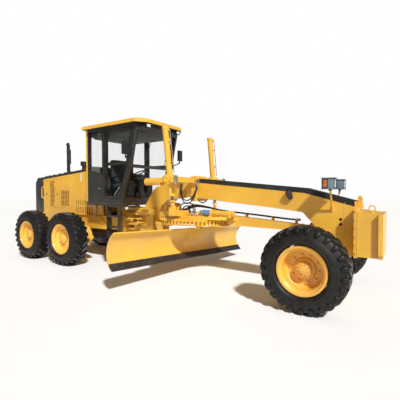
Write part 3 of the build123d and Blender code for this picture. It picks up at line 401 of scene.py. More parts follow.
def mottled(name, one, other, blotch, rough, grain=None, **constants):
    """A plain finish: two shades in blotches, a gloss that varies and a fine grain."""
    finish = Finish(name, **constants)
    if blotch:
        finish.feed(Base_Color=finish.mix(finish.noise(*blotch), one, other))
    if rough:
        scale, detail, spread, least = rough
        finish.feed(Roughness=finish.noise(scale, detail) * spread + least)
    if grain:
        scale, detail, depth = grain
        finish.feed(Normal=finish.relief(finish.noise(scale, detail), depth))
    return finish.material


def bar(bm, start, end, radius, sides=24, tip=None):
    """A round bar or a cone between two points."""
    start, end = Vector(start), Vector(end)
    turn = (end - start).to_track_quat("Z", "Y").to_matrix().to_4x4()
    return bmesh.ops.create_cone(
        bm, cap_ends=True, segments=sides, radius1=radius, radius2=radius if tip is None else tip,
        depth=(end - start).length, matrix=Matrix.Translation((start + end) / 2) @ turn,
    )["verts"]


def bolt(bm, place, way, across_flats=0.024, height=0.014, turn=0.0):
    """A hexagon bolt head on a washer, standing on a surface."""
    place, way = Vector(place), Vector(way).normalized()
    bar(bm, place - way * 0.001, place + way * 0.004, across_flats * 0.72, 16)
    head = way.to_track_quat("Z", "Y").to_matrix().to_4x4() @ Matrix.Rotation(turn, 4, "Z")
    bmesh.ops.create_cone(
        bm, cap_ends=True, segments=6, radius1=across_flats * 0.577, radius2=across_flats * 0.52,
        depth=height, matrix=Matrix.Translation(place + way * height / 2) @ head,
    )


def bolt_ring(bm, centre, foot, axis, count, way, across_flats, height, start=0.0, turn=0.0):
    """A ring of bolts round an axis; foot is the first one's place from the centre."""
    for i in range(count):
        spin = Matrix.Rotation(2 * pi * i / count + start, 3, axis)
        bolt(bm, Vector(centre) + spin @ Vector(foot), way, across_flats, height, turn * i)


rim_yellow = enamel("rim_yellow", colour(244, 188, 74), colour(236, 174, 58), 0.3)
zinc = mottled("zinc_plate", 0, 0, None, (60, 3, 0.25, 0.28), (300, 2, 0.0003), Metallic=0.9,
               Base_Color=colour(196, 192, 180))
for place, side in WHEELS:
    coat(rim_yellow, f"{place}_rim_{side}")
    centre, out, body = wheel_centre(place, side), Y if side == "left" else -Y, f"{place}_wheel_{side}"
    # outer face of the disc and end of the hub, both from the middle of the tyre, and its nuts
    if place == "front":
        disc, hub, nuts, ring, size, profile = -0.04, 0.055, 10, 0.076, 0.016, HUB_RINGS["front"]
    else:
        disc, hub, nuts, ring, size, profile = 0.05, 0.09, 12, 0.092, 0.014, HUB_RINGS["rear"]
    cap, fittings, valve = bmesh.new(), bmesh.new(), bmesh.new()
    turned(cap, profile, centre + out * hub, out)
    bolt_ring(cap, centre + out * (hub + 0.014), (ring, 0, 0), "Y", 8, out, size, 0.01, pi / 8)
    turned(cap, LOCK_RING, centre, out, 72)
    turned(cap, BARREL_STEP, centre, out, 72)
    painted(f"{place}_hub_cap_{side}", cap, rim_yellow, body)
    for i in range(nuts):
        spot = Matrix.Rotation(2 * pi * i / nuts + 0.1, 4, "Y") @ Vector((0.206, 0, 0))
        foot = centre + spot + out * (disc + 0.003)
        bolt(fittings, foot, out, 0.034, 0.02)
        bar(fittings, foot, foot + out * 0.032, 0.01, 12)
    painted(f"{place}_wheel_nuts_{side}", fittings, rim_yellow, body)
    stem = centre + Matrix.Rotation(0.9, 4, "Y") @ Vector((0.286, 0, 0))
    bar(valve, stem + out * 0.03, stem + out * 0.1, 0.006, 12)
    bar(valve, stem + out * 0.1, stem + out * 0.118, 0.008, 12)
    painted(f"{place}_valve_{side}", valve, zinc, body)

# ---- hood ----
# Sheet steel sides and doors in yellow enamel with pressed louvres, paddle latches, a bent grab bar at
# each rear corner, and a blank white marker strip. Louvres are pressed out of the sheet; the dark behind
# them is painted shade, thin dark slabs laid on the sheet.
SIDES = (("left", 1), ("right", -1))
HOOD_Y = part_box("hood_door_rear_left")[0].y + 0.04         # outer face of a hood side
LOUVRE_W, LOUVRE_H, LOUVRE_STEP = 0.056, 0.022, (0.078, 0.0365)
LOUVRES = (("rear", (-3.855, 1.375), 3, 20), ("front", (-3.31, 1.39), 5, 12))   # first one, columns, rows
LATCHES = (("rear", -4.057), ("front", -3.493))
SLOT_W, SLOT_STEP, SLOTS = 0.026, 0.092, ((1.185, 1.375), (1.435, 1.555))       # foot and top of a slot

black_rubber = mottled("black_rubber", colour(22, 22, 23), colour(40, 39, 39), (14, 4), (40, 3, 0.2, 0.5),
                       (400, 3, 0.0003), Specular_IOR_Level=0.3)
# a dark brown for the louvre and slot openings: painted shade standing in for the dark inside the hood
painted_slot_shade = mottled("painted_slot_shade", colour(28, 20, 12), colour(52, 38, 20), (20, 3), None,
                      Roughness=0.9, Specular_IOR_Level=0.1)
blue_grey = enamel("blue_grey", colour(116, 134, 150), colour(98, 116, 132), 0.32)
white_vinyl = mottled("white_vinyl", colour(232, 232, 228), colour(214, 212, 204), (30, 3), (50, 2, 0.2, 0.3),
                      Coat_Weight=0.3)


def block(bm, corner, other, edge=0.0, turn=None):
    """A block between two corners with its edges broken; turn is a matrix that moves it after that."""
    low, high = (Vector(pick(pair) for pair in zip(corner, other)) for pick in (min, max))
    size = Matrix.Diagonal((*(high - low), 1))
    verts = bmesh.ops.create_cube(bm, size=1, matrix=Matrix.Translation((low + high) / 2) @ size)["verts"]
    if edge:
        edges = list({e for v in verts for e in v.link_edges})
        cut = bmesh.ops.bevel(
            bm, geom=edges, offset=edge, affect="EDGES", segments=2, profile=0.5, material=-1,
        )
        verts = list({v for f in cut["faces"] for v in f.verts} | {v for v in verts if v.is_valid})
    return moved(bm, verts, turn) if turn else verts


def slab(bm, centre, size, edge=0.0):
    """A block by its centre and its size."""
    centre, half = Vector(centre), Vector(size) / 2
    return block(bm, centre - half, centre + half, edge)


def bow(start, corner, end, steps):
    """Points along a curve that leaves one point for a corner and bends off to another."""
    shares = [t / steps for t in range(steps + 1)]
    return [start.lerp(corner, t).lerp(corner.lerp(end, t), t) for t in shares]


def rounded(corner, before, after, bend):
    """Points along a rounded corner that starts and ends a bend away from it."""
    back, on = before - corner, after - corner
    start, end = (corner + way.normalized() * min(bend, 0.48 * way.length) for way in (back, on))
    return bow(start, corner, end, 6)


def tube(name, kind, points, radius, ring):
    """A curve object's data: a round tube through points, closed at its ends."""
    curve = bpy.data.curves.new(name, "CURVE")
    curve.dimensions, curve.use_fill_caps = "3D", True
    curve.bevel_depth, curve.bevel_resolution = radius, ring
    spline = curve.splines.new(kind)
    spline.points.add(len(points) - 1)
    for point, spot in zip(spline.points, points):
        point.co = (*spot, 1)
    return curve, spline


def bent_bar(bm, points, radius, bend=0.05, ring=2):
    """A round bar or pipe along straight runs, with its corners rounded."""
    points = [Vector(point) for point in points]
    corners = [rounded(b, a, c, bend) for a, b, c in zip(points, points[1:], points[2:])]
    curve, spline = tube("bar", "POLY", [points[0], *sum(corners, []), points[-1]], radius, ring)
    holder = bpy.data.objects.new("bar", curve)
    mesh = bpy.data.meshes.new_from_object(holder)
    bm.from_mesh(mesh)
    bpy.data.objects.remove(holder)
    bpy.data.curves.remove(curve)
    bpy.data.meshes.remove(mesh)


def wedge(bm, outline, axis, low, high):
    """A plate of any outline: its points lie across an axis, and it is extruded along the axis."""
    order = {"y": (0, 2, 1), "z": (0, 1, 2)}[axis]
    start, end = [[Vector([(u, v, depth)[i] for i in order]) for u, v in outline] for depth in (low, high)]
    face = bm.faces.new([bm.verts.new(point) for point in start])
    grown = bmesh.ops.extrude_face_region(bm, geom=[face])
    new = [v for v in grown["geom"] if isinstance(v, bmesh.types.BMVert)]
    bmesh.ops.translate(bm, verts=new, vec=end[0] - start[0])


for side, sign in SIDES:
    face, out = sign * HOOD_Y, Vector((0, sign, 0))
    for door, (x0, z0), columns, rows in LOUVRES:
        lips, slots = bmesh.new(), bmesh.new()
        for i in range(columns * rows):
            x, z = x0 + LOUVRE_STEP[0] * (i // rows), z0 + LOUVRE_STEP[1] * (i % rows)
            brow = z + LOUVRE_H + 0.003
            # a thin dark slab on the sheet: painted shade for the louvre's opening
            block(slots, (x, face - 0.0012, z), (x + LOUVRE_W, face + 0.0012, z + LOUVRE_H))
            bar(lips, (x - 0.003, face, brow), (x + LOUVRE_W + 0.003, face, brow), 0.0055, 8)
        body = f"hood_door_{door}_{side}"
        painted(f"louvre_lips_{door}_{side}", lips, machine_yellow, body)
        painted(f"louvre_slots_{door}_{side}", slots, painted_slot_shade, body)
    for door, x in LATCHES:
        latch = bmesh.new()
        block(latch, (x - 0.032, face, 1.688), (x + 0.032, face + sign * 0.007, 1.752), 0.003)
        block(latch, (x - 0.022, face, 1.7), (x + 0.022, face + sign * 0.014, 1.728), 0.004)
        bar(latch, (x, face, 1.741), (x, face + sign * 0.011, 1.741), 0.007, 16)
        painted(f"hood_latch_{door}_{side}", latch, blue_grey, f"hood_door_{door}_{side}")
    slots, lips, grab, strip = [bmesh.new() for _ in range(4)]
    for i in range(8):
        x = -2.6 + SLOT_STEP * i
        for low, high in SLOTS:
            # a thin dark slab on the sheet: painted shade for the slot's opening
            block(slots, (x, face - 0.0015, low), (x + SLOT_W, face + 0.0015, high))
            bar(lips, (x + 0.029, face, low - 0.004), (x + 0.029, face, high + 0.004), 0.005, 8)
    # folded edge along the foot of the side, and a seam where the fixed sheet is lapped
    block(lips, (-2.66, face - sign * 0.002, 1.162), (-1.8, face + sign * 0.045, 1.178), 0.004)
    block(lips, (-2.735, face - 0.004, 1.2), (-2.715, face + 0.004, 2.2), 0.002)
    for x in (-2.55, -1.92):
        for z in (1.66, 2.1):
            bolt(lips, (x, face, z), out, 0.018, 0.009)
    painted(f"side_slots_{side}", slots, painted_slot_shade)
    painted(f"side_lips_{side}", lips, machine_yellow)
    y = face - sign * 0.005
    grip = [(-4.215, y, 1.6), (-4.32, y, 1.6), (-4.32, y, 1.93), (-4.215, y, 1.93)]
    bent_bar(grab, grip, 0.014, 0.075, 3)
    for z in (1.6, 1.93):
        slab(grab, (-4.215, y, z), (0.014, 0.028, 0.06), 0.003)
    painted(f"grab_bar_{side}", grab, machine_yellow)
    block(strip, (-2.415, face, 2.075), (-2.362, face + sign * 0.0008, 2.265))
    painted(f"marker_strip_{side}", strip, white_vinyl)

# ---- top of the hood, exhaust and air intake ----
# The cover is black sheet held down by bolted hinge lumps along its edges. The exhaust is a steel pipe
# with a clamped heat guard and a rain cap, and the pre-cleaner has a ribbed bowl under its cap.
STACK_X, STACK_TOP, GUARD = -3.62, 3.205, (2.62, 3.05)
INTAKE_X, BOWL_LOW, BOWL_HIGH = -2.85, 2.535, 2.655


def band(bm, place, along, radius, outer, half, steps=32):
    """A collar of plain section round an axis, reaching half its width to both sides of a place."""
    turned(bm, [(-half, radius), (-half, outer), (half, outer), (half, radius)], place, along, steps)


cover, stack, bowl = bmesh.new(), bmesh.new(), bmesh.new()
for x in (-4.1, -3.92, -3.7, -3.42, -3.15, -2.93):
    z = 2.23 + (x + 4.21) * 0.082
    for y in (-0.405, 0.405):
        slab(cover, (x, y, z + 0.005), (0.09, 0.06, 0.022), 0.006)
        bolt(cover, (x, y, z + 0.016), Z, 0.02, 0.01)
for y in (-0.21, 0.21):
    bent_bar(cover, [(-4.15, y, 2.236), (-4.15, y, 2.262), (-3.00, y, 2.358), (-3.00, y, 2.33)], 0.009, 0.03)
painted("cover_fittings", cover, satin_black)
foot = [(0, 0.085), (0.012, 0.085), (0.016, 0.062), (0.05, 0.056), (0.05, 0.05)]
turned(stack, foot, (STACK_X, 0, 2.262), Z)
bar(stack, (STACK_X + 0.078, 0, GUARD[0]), (STACK_X + 0.078, 0, GUARD[1]), 0.03, 20)
for z in (2.36, 2.48, 2.7, 2.98):
    clamp = [(-0.012, 0.048), (-0.012, 0.053), (0.012, 0.053), (0.012, 0.048), (-0.012, 0.048)]
    turned(stack, clamp, (STACK_X, 0, z), Z, 32)
    slab(stack, (STACK_X - 0.0575, 0, z), (0.025, 0.024, 0.02), 0.002)
for z in (2.7, 2.98):
    slab(stack, (STACK_X + 0.07, 0, z), (0.06, 0.036, 0.02), 0.003)
cap_turn = Matrix.Translation((STACK_X - 0.05, 0, STACK_TOP - 0.012)) @ Matrix.Rotation(radians(-50), 4, "Y")
moved(stack, bar(stack, (0.045, 0, 0), (0.045, 0, 0.005), 0.052, 32), cap_turn)
block(stack, (STACK_X - 0.068, -0.016, STACK_TOP - 0.05), (STACK_X - 0.046, 0.016, STACK_TOP - 0.004), 0.003)
hot_black = Finish("hot_black", Metallic=0.3, Specular_IOR_Level=0.4)
scale = hot_black.noise(9, 5, roughness=0.7).rise(0.45, 0.7)
hot_black.feed(Base_Color=hot_black.mix(scale * 0.5, colour(48, 47, 48), colour(84, 66, 54)))
hot_black.feed(Roughness=scale * 0.3 + 0.45, Normal=hot_black.relief(hot_black.noise(160, 4), 0.0006))
painted("exhaust_stack", stack, hot_black.material)
for i in range(28):
    turn = Matrix.Translation((INTAKE_X, 0, 0)) @ Matrix.Rotation(2 * pi * i / 28, 4, "Z")
    block(bowl, (0.098, -0.003, BOWL_LOW + 0.012), (0.109, 0.003, BOWL_HIGH - 0.03), 0.001, turn)
rim = [(0, 0.105), (0, 0.112), (0.01, 0.114), (0.016, 0.105)]
turned(bowl, rim, (INTAKE_X, 0, BOWL_HIGH - 0.028), Z)
turned(bowl, [(0, 0.0), (0, 0.018), (0.01, 0.016), (0.012, 0.0)], (INTAKE_X, 0, BOWL_HIGH), Z, 24)
band(bowl, (INTAKE_X, 0, 2.445), Z, 0.07, 0.078, 0.015)
painted("pre_cleaner_ribs", bowl, satin_black)

# ---- tail ----
# The black cowl frames a radiator grille of folded bars over a fine core, with a tail lamp on each
# side of it. All of it is bolted to the cowl.
GRILLE_X, GRILLE_Y, GRILLE_Z, GRILLE_BARS = -4.655, 0.328, (1.28, 1.97), 18


def ribbed(name, axis, scale, dark, light, depth, rough=None, **constants):
    """A finish in fine ribs across an axis, for lenses and cooling fins; painted shade and highlight follow
    the ribs.
    """
    finish = Finish(name, **constants)
    ribs = (finish.axis(axis) * scale).wave() * 0.5 + 0.5
    # colour follows the ribs: painted shade in the grooves, painted highlight on the crests
    finish.feed(Base_Color=finish.mix(ribs, dark, light))
    if rough:
        finish.feed(Roughness=ribs * 0.2 + rough)
    finish.feed(Normal=finish.relief(ribs, depth))
    return finish.material


grille, core = bmesh.new(), bmesh.new()
for i in range(GRILLE_BARS):
    z = GRILLE_Z[0] + (GRILLE_Z[1] - GRILLE_Z[0]) * (i + 0.5) / GRILLE_BARS
    tilt = Matrix.Translation((GRILLE_X, 0, z)) @ Matrix.Rotation(radians(28), 4, "Y")
    block(grille, (-0.016, -GRILLE_Y, -0.003), (0.016, GRILLE_Y, 0.003), 0.001, tilt)
for y in (-0.165, 0.0, 0.165):
    low, high = ((GRILLE_X + x, y + w, z) for x, w, z in zip((-0.006, 0.02), (-0.008, 0.008), GRILLE_Z))
    block(grille, low, high, 0.002)
painted("radiator_grille", grille, satin_black)
block(core, (-4.61, -0.345, 1.25), (-4.55, 0.345, 2.00))
# the core is painted darker between its ribs: painted shade in the gaps between the fins
fins = ribbed("radiator_core", "Z", 1600.0, colour(44, 44, 46), colour(92, 92, 94), 0.002, 0.4, Metallic=0.6)
painted("radiator_core", core, fins)
red_lens = ribbed("red_lens", "Y", 900.0, colour(120, 8, 8), colour(176, 20, 16), 0.001,
                  Coat_Weight=0.8, Roughness=0.25)
for side, sign in SIDES:
    lens, holder = bmesh.new(), bmesh.new()
    slab(holder, (-4.686, sign * 0.375, 1.65), (0.012, 0.072, 0.18), 0.004)
    slab(lens, (-4.6935, sign * 0.375, 1.65), (0.011, 0.06, 0.164), 0.005)
    painted(f"tail_lamp_frame_{side}", holder, satin_black)
    painted(f"tail_lamp_{side}", lens, red_lens)

# ---- cab ----
# A welded tube cab in dark grey enamel under a yellow roof. Every pane of toughened glass sits in a
# thick black rubber gasket; the doors' own panes swing with them, inside a folded edge painted lighter
# as a highlight.
CAB_Y = 0.75
SKIN = CAB_Y - 0.002
FRONT = ((-0.46, 1.595), (-0.21, 2.365), (0.0, 3.315))      # sill, bend and top of the front face
WINDSCREENS = ((1.655, 2.335), (2.405, 3.155))
GASKET, POST = 0.024, 0.14


def front_x(z):
    (x0, z0), (x1, z1) = FRONT[:2] if z < FRONT[1][1] else FRONT[1:]
    return x0 + (x1 - x0) * (z - z0) / (z1 - z0)


def oblong(y0, z0, y1, z1):
    return [(y0, z0), (y1, z0), (y1, z1), (y0, z1)]


UPPER_DOOR = [(-1.005, 2.475), (front_x(2.475) - POST, 2.475), (front_x(3.18) - POST, 3.18), (-1.005, 3.18)]
LOWER_DOOR = [(-1.005, 1.685), (-0.72, 1.685), *((front_x(z) - POST, z) for z in (1.875, 2.365, 2.405)),
              (-1.005, 2.405)]
QUARTER = [(-1.64, 2.32), (-1.145, 2.195), (-1.145, 3.24), (-1.64, 3.24)]
DOOR_EDGE = [(-1.057, 1.623), *((front_x(z) - 0.088, z) for z in (1.623, FRONT[1][1], 3.232)),
             (-1.057, 3.232)]
glass = Finish("tinted_glass", Coat_Weight=1.0, Coat_Roughness=0.02, Roughness=0.04, Specular_IOR_Level=0.5)
smear = glass.noise(3.0, 5, roughness=0.65).rise(0.45, 0.8)
glass.feed(Base_Color=glass.mix(smear, colour(34, 50, 44), colour(80, 92, 84)), Alpha=smear * 0.03 + 0.045)
glass = glass.material
glass.surface_render_method = "BLENDED"
coat(glass, "cab_glass")
# the doors' folded edge in a lighter grey than the cab: a painted highlight along it
painted_edge_highlight = enamel("painted_edge_highlight", colour(84, 86, 90), colour(70, 72, 76), 0.3)


def border(bm, points, width, depth, place):
    """A flat frame: an outline, inset by a width and raised by a depth, then moved into its place."""
    face = bm.faces.new([bm.verts.new((u, v, 0)) for u, v in points])
    rim = bmesh.ops.inset_individual(bm, faces=[face], thickness=width, use_even_offset=True)["faces"]
    bmesh.ops.delete(bm, geom=[face], context="FACES_ONLY")
    grown = bmesh.ops.extrude_face_region(bm, geom=rim)["geom"]
    top = [v for v in grown if isinstance(v, bmesh.types.BMVert)]
    bmesh.ops.translate(bm, verts=top, vec=(0, 0, depth))
    moved(bm, list({v for f in rim if f.is_valid for v in f.verts} | set(top)), place)


def upright(sign, surface):
    """Carries a drawing in X and Z onto a side face, standing outwards."""
    return Matrix(((1, 0, 0, 0), (0, 0, sign, sign * surface), (0, 1, 0, 0), (0, 0, 0, 1)))


def crosswise(way, x):
    """Carries a drawing in Y and Z onto a face across the machine, standing ahead (1) or back (-1)."""
    return Matrix(((0, 0, way, x), (1, 0, 0, 0), (0, 1, 0, 0), (0, 0, 0, 1)))


def on_front(low, high, proud):
    """Carries a drawing in Y and height up the slope onto the front face between two heights."""
    start, end = Vector((front_x(low), 0, low)), Vector((front_x(high), 0, high))
    rise = (end - start).normalized()
    out = Y.cross(rise).normalized()
    return Matrix.Translation(start + out * proud) @ Matrix((Y, rise, out)).transposed().to_4x4()


gaskets = bmesh.new()
for side, sign in SIDES:
    body, seals, panes, edges = f"cab_door_{side}", bmesh.new(), bmesh.new(), bmesh.new()
    for outline in (UPPER_DOOR, LOWER_DOOR):
        wedge(panes, outline, "y", sign * 0.717, sign * 0.722)
        border(seals, outline, GASKET, 0.009, upright(sign, SKIN))
        border(seals, outline, GASKET, 0.009, upright(-sign, 0.058 - CAB_Y))
    # the lighter folded edge round each door: a painted highlight
    border(edges, DOOR_EDGE, 0.015, 0.01, upright(sign, SKIN))
    painted(f"door_edges_{side}", edges, painted_edge_highlight, body)
    painted(f"door_panes_{side}", panes, glass, body)
    painted(f"door_gaskets_{side}", seals, black_rubber, body)
    border(gaskets, QUARTER, GASKET, 0.01, upright(sign, SKIN))
for low, high in WINDSCREENS:
    length = (Vector((front_x(high), high)) - Vector((front_x(low), low))).length
    border(gaskets, oblong(-0.675, 0, 0.675, length), 0.03, 0.014, on_front(low, high, -0.004))
border(gaskets, oblong(-0.63, 2.425, 0.63, 3.155), 0.028, 0.012, crosswise(-1, -1.759))
painted("cab_gaskets", gaskets, black_rubber)

# ---- cab lining and roof ----
# Moulded dark trim covers the rear wall and the roof inside, with two air vents and a round lamp, and
# a rubber mat lies on the floor. Black sheet closes the roof from below. The rear wall is bolted on.
CEILING = 3.1
trim = mottled("moulded_trim", colour(84, 92, 88), colour(104, 112, 106), (5, 4), None, (260, 3, 0.0004),
               Roughness=0.7, Specular_IOR_Level=0.3)
lining, mat, soffit, bolts = [bmesh.new() for _ in range(4)]
for y0, z0, y1, z1 in ((-0.69, 1.58, 0.69, 2.42), (-0.69, 2.42, -0.635, 3.16), (0.635, 2.42, 0.69, 3.16),
                       (-0.69, 3.16, 0.69, 3.262)):
    block(lining, (-1.7, y0, z0), (-1.685, y1, z1), 0.003)
block(lining, (-1.66, -0.6, CEILING), (-0.16, 0.6, 3.265), 0.03)
for y in (-0.35, 0.35):
    vent = [(0, 0.06), (0.012, 0.06), (0.016, 0.052), (0.006, 0.046), (0.006, 0.0)]
    turned(lining, vent, (-0.45, y, CEILING), -Z, 24)
turned(lining, [(0, 0.075), (0.01, 0.072), (0.016, 0.0)], (-0.95, 0, CEILING), -Z, 24)
painted("cab_lining", lining, trim)
block(mat, (-1.68, -0.685, 1.575), (-0.54, 0.685, 1.583), 0.002)
for i in range(20):
    slab(mat, (-1.65 + 0.056 * i, 0, 1.584), (0.02, 1.34, 0.004), 0.001)
painted("floor_mat", mat, black_rubber)
roof = [(-1.785, -0.83), (0.03, -0.83), (0.185, -0.61), (0.185, 0.61), (0.03, 0.83), (-1.785, 0.83)]
wedge(soffit, roof, "z", 3.306, 3.3145)
block(soffit, (0.02, -0.7, 3.27), (0.045, 0.7, 3.308), 0.004)
painted("roof_soffit", soffit, satin_black)
for side, sign in SIDES:
    for i in range(7):
        bolt(bolts, (-1.73, sign * CAB_Y, 1.66 + 0.255 * i), (0, sign, 0), 0.018, 0.01, 0.3 * i)
painted("rear_wall_bolts", bolts, zinc)

# ---- cab fittings ----
# Outside: folded sill edges, key locks, door latches with a bright pull bar, wipers on the upper
# windscreen, and clamps for the mirror stays where the front posts meet the waist rail.
fittings, wipers = bmesh.new(), bmesh.new()
latch_x = front_x(2.43)
for side, sign in SIDES:
    face, skin, out = sign * CAB_Y, sign * SKIN, Vector((0, sign, 0))
    for z, deep in ((1.612, 0.01), (1.545, 0.006), (1.462, 0.012)):
        block(fittings, (-1.69, skin, z - 0.008), (-0.475, face + sign * deep, z + 0.008), 0.003)
    block(fittings, (-1.155, skin, 2.12), (-1.052, face + sign * 0.014, 2.16), 0.004)
    # mirror stay clamp: a plate, a swivel and its bolts
    block(fittings, (-0.265, face, 2.385), (-0.165, face + sign * 0.045, 2.475), 0.008)
    bar(fittings, (-0.19, face + sign * 0.022, 2.37), (-0.19, face + sign * 0.022, 2.5), 0.022, 20)
    for z in (2.405, 2.455):
        bolt(fittings, (-0.24, face + sign * 0.045, z), out, 0.016, 0.009)
painted("cab_trim", fittings, cab_grey)
for side, sign in SIDES:
    body, face, skin, y = f"cab_door_{side}", sign * CAB_Y, sign * SKIN, sign * (CAB_Y + 0.028)
    pull, latch, lock = bmesh.new(), bmesh.new(), bmesh.new()
    grip = [(-0.7, face, 1.7), (-0.7, y, 1.7), (-0.535, y, 1.875), (-0.535, face, 1.875)]
    bent_bar(pull, grip, 0.009, 0.02, 3)
    block(latch, (latch_x - 0.205, skin, 2.412), (latch_x - 0.1, face + sign * 0.03, 2.468), 0.008)
    block(latch, (latch_x - 0.19, y, 2.425), (latch_x - 0.115, face + sign * 0.042, 2.455), 0.006)
    bar(latch, (-0.93, face, 2.44), (-0.93, face + sign * 0.014, 2.44), 0.016, 20)
    painted(f"door_pull_{side}", pull, zinc, body)
    painted(f"door_latch_{side}", latch, satin_black, body)
    barrel = [(0, 0.02), (0.005, 0.02), (0.008, 0.015), (0.006, 0.012), (0.009, 0.0)]
    turned(lock, barrel, (-1.26, face, 1.86), (0, sign, 0), 24)
    painted(f"panel_lock_{side}", lock, zinc)
screen, above = on_front(*WINDSCREENS[1], 0.0), on_front(*WINDSCREENS[1], 0.03)
for y in (-0.34, 0.34):
    pivot = above @ Vector((y, -0.035, 0))
    bar(wipers, screen @ Vector((y, -0.035, 0.0)), pivot, 0.014, 16)
    elbow, clip = above @ Vector((y + 0.07, 0.2, 0)), above @ Vector((y + 0.1, 0.36, -0.012))
    bent_bar(wipers, [pivot, elbow, clip], 0.005, 0.05)
    bar(wipers, above @ Vector((y + 0.06, 0.14, -0.016)), above @ Vector((y + 0.14, 0.6, -0.016)), 0.007, 8)
painted("wipers", wipers, satin_black)

# ---- mirrors and roof lamps ----
# Each mirror head is a black moulding with silvered glass on its rear face, clamped to a stay. The
# roof lamps are black housings with a white ribbed lens behind a bezel, on a bolted bracket.
silver = mottled("silvered_glass", 0, 0, None, (20, 3, 0.08, 0.03), Metallic=1.0,
                 Base_Color=colour(190, 196, 200))
clear_lens = Finish("clear_lens", Coat_Weight=1.0, Emission_Color=(1, 1, 1, 1), Emission_Strength=0.12)
prisms = (clear_lens.axis("Y") * 500.0).wave() * (clear_lens.axis("Z") * 500.0).wave() * 0.5 + 0.5
# the colour follows the prisms, lighter and darker across their faces: painted highlight and shade
clear_lens.feed(Base_Color=clear_lens.mix(prisms, colour(236, 238, 238), colour(190, 196, 200)))
clear_lens.feed(Roughness=prisms * 0.1 + 0.1, Normal=clear_lens.relief(prisms, 0.0015))
clear_lens = clear_lens.material
mirrors, shells, lenses, bezels = [bmesh.new() for _ in range(4)]
for side, sign in SIDES:
    low, high = sorted((sign * 0.908, sign * 1.052))
    block(mirrors, (-0.1375, low, 2.605), (-0.1345, high, 2.866), 0.001)
    border(shells, oblong(low - 0.008, 2.595, high + 0.008, 2.875), 0.01, 0.006, crosswise(-1, -0.134))
    slab(shells, (-0.091, sign * 0.96, 2.73), (0.012, 0.06, 0.14), 0.005)
    for z in (2.55, 2.66):
        bar(shells, (-0.12, sign * 0.96, z - 0.018), (-0.12, sign * 0.96, z + 0.018), 0.021, 16)
    low, high = sorted((sign * 0.48, sign * 0.59))
    block(lenses, (0.164, low, 3.22), (0.173, high, 3.285), 0.003)
    border(bezels, oblong(low - 0.012, 3.209, high + 0.012, 3.296), 0.01, 0.012, crosswise(1, 0.166))
    for y in (low + 0.03, high - 0.03):
        bolt(bezels, (0.13, y, 3.21), -Z, 0.014, 0.008)
painted("mirror_glass", mirrors, silver)
painted("mirror_shells", shells, satin_black)
painted("roof_lamp_lenses", lenses, clear_lens)
painted("roof_lamp_bezels", bezels, satin_black)

# ---- operator's seat ----
# A suspension seat: crowned foam cushion and back in grey cloth with piped edges and a stitched middle
# seam, on a rubber bellows and a steel base. It takes the place of the plain solid.
SEAT_AT, BACK_AT, BACK_LEAN = Vector((-1.13, 0, 1.92)), Vector((-1.4, 0, 2.3)), radians(83)
cloth = Finish("seat_cloth", Roughness=0.9, Specular_IOR_Level=0.2)
warp, weft, pile = [(cloth.axis(axis) * 1400.0).wave() for axis in "XYZ"]
weave = warp * weft * pile
cloth.feed(Base_Color=cloth.mix(cloth.noise(12, 4), colour(50, 54, 58), colour(70, 74, 78)))
cloth.feed(Normal=cloth.relief(weave * 0.5 + 0.5, 0.0006))


def hill(distance, width):
    """1 at a line and close to 0 a few widths away from it."""
    return 2.7 ** (-(distance / width) ** 2)


def cushion(name, half, crown, place):
    """Foam in cloth: a finely cut block with rounded corners, a crowned face and pressed seams."""
    bm = bmesh.new()
    bmesh.ops.create_cube(bm, size=2)
    bmesh.ops.subdivide_edges(bm, edges=bm.edges[:], cuts=31, use_grid_fill=True)
    for v in bm.verts:
        u, w, t = v.co
        swell = (1 - abs(u) ** 3) * (1 - abs(w) ** 3)
        seam = 0.01 * (hill(w, 0.035) + hill(abs(w) - 0.62, 0.03))
        piping = 0.006 * hill(max(abs(u), abs(w)) - 0.93, 0.03)
        pinch = 1 - 0.1 * max(abs(t) - 0.5, 0) * 2
        v.co = (
            u * half[0] * (1 - 0.06 * abs(w) ** 6) * pinch,
            w * half[1] * (1 - 0.06 * abs(u) ** 6) * pinch,
            t * half[2] + (crown * swell - seam + piping) * max(t, 0),
        )
    moved(bm, bm.verts, place)
    piece = painted(name, bm, cloth.material, sharp=60)
    return piece


seat = cushion("seat_cushion", (0.255, 0.26, 0.06), 0.03, Matrix.Translation(SEAT_AT))
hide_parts("operator_chair")
lean = Matrix.Translation(BACK_AT) @ Matrix.Rotation(BACK_LEAN, 4, "Y")
cushion("seat_back", (0.31, 0.25, 0.055), 0.026, lean)
base = bmesh.new()
block(base, (-1.36, -0.22, 1.585), (-0.92, 0.22, 1.625), 0.008)
for i in range(5):
    slab(base, (-1.14, 0, 1.651 + 0.036 * i), (0.38, 0.38, 0.022), 0.009)
block(base, (-1.31, -0.17, 1.62), (-0.97, 0.17, 1.84), 0.004)
block(base, (-1.37, -0.235, 1.825), (-0.89, 0.235, 1.862), 0.008)
for sign in (-1, 1):
    slab(base, (-1.42, sign * 0.275, 1.985), (0.04, 0.024, 0.31), 0.005)
    block(base, (-1.42, sign * 0.255, 2.13), (-1.08, sign * 0.315, 2.175), 0.018)
painted("seat_base", base, black_rubber)

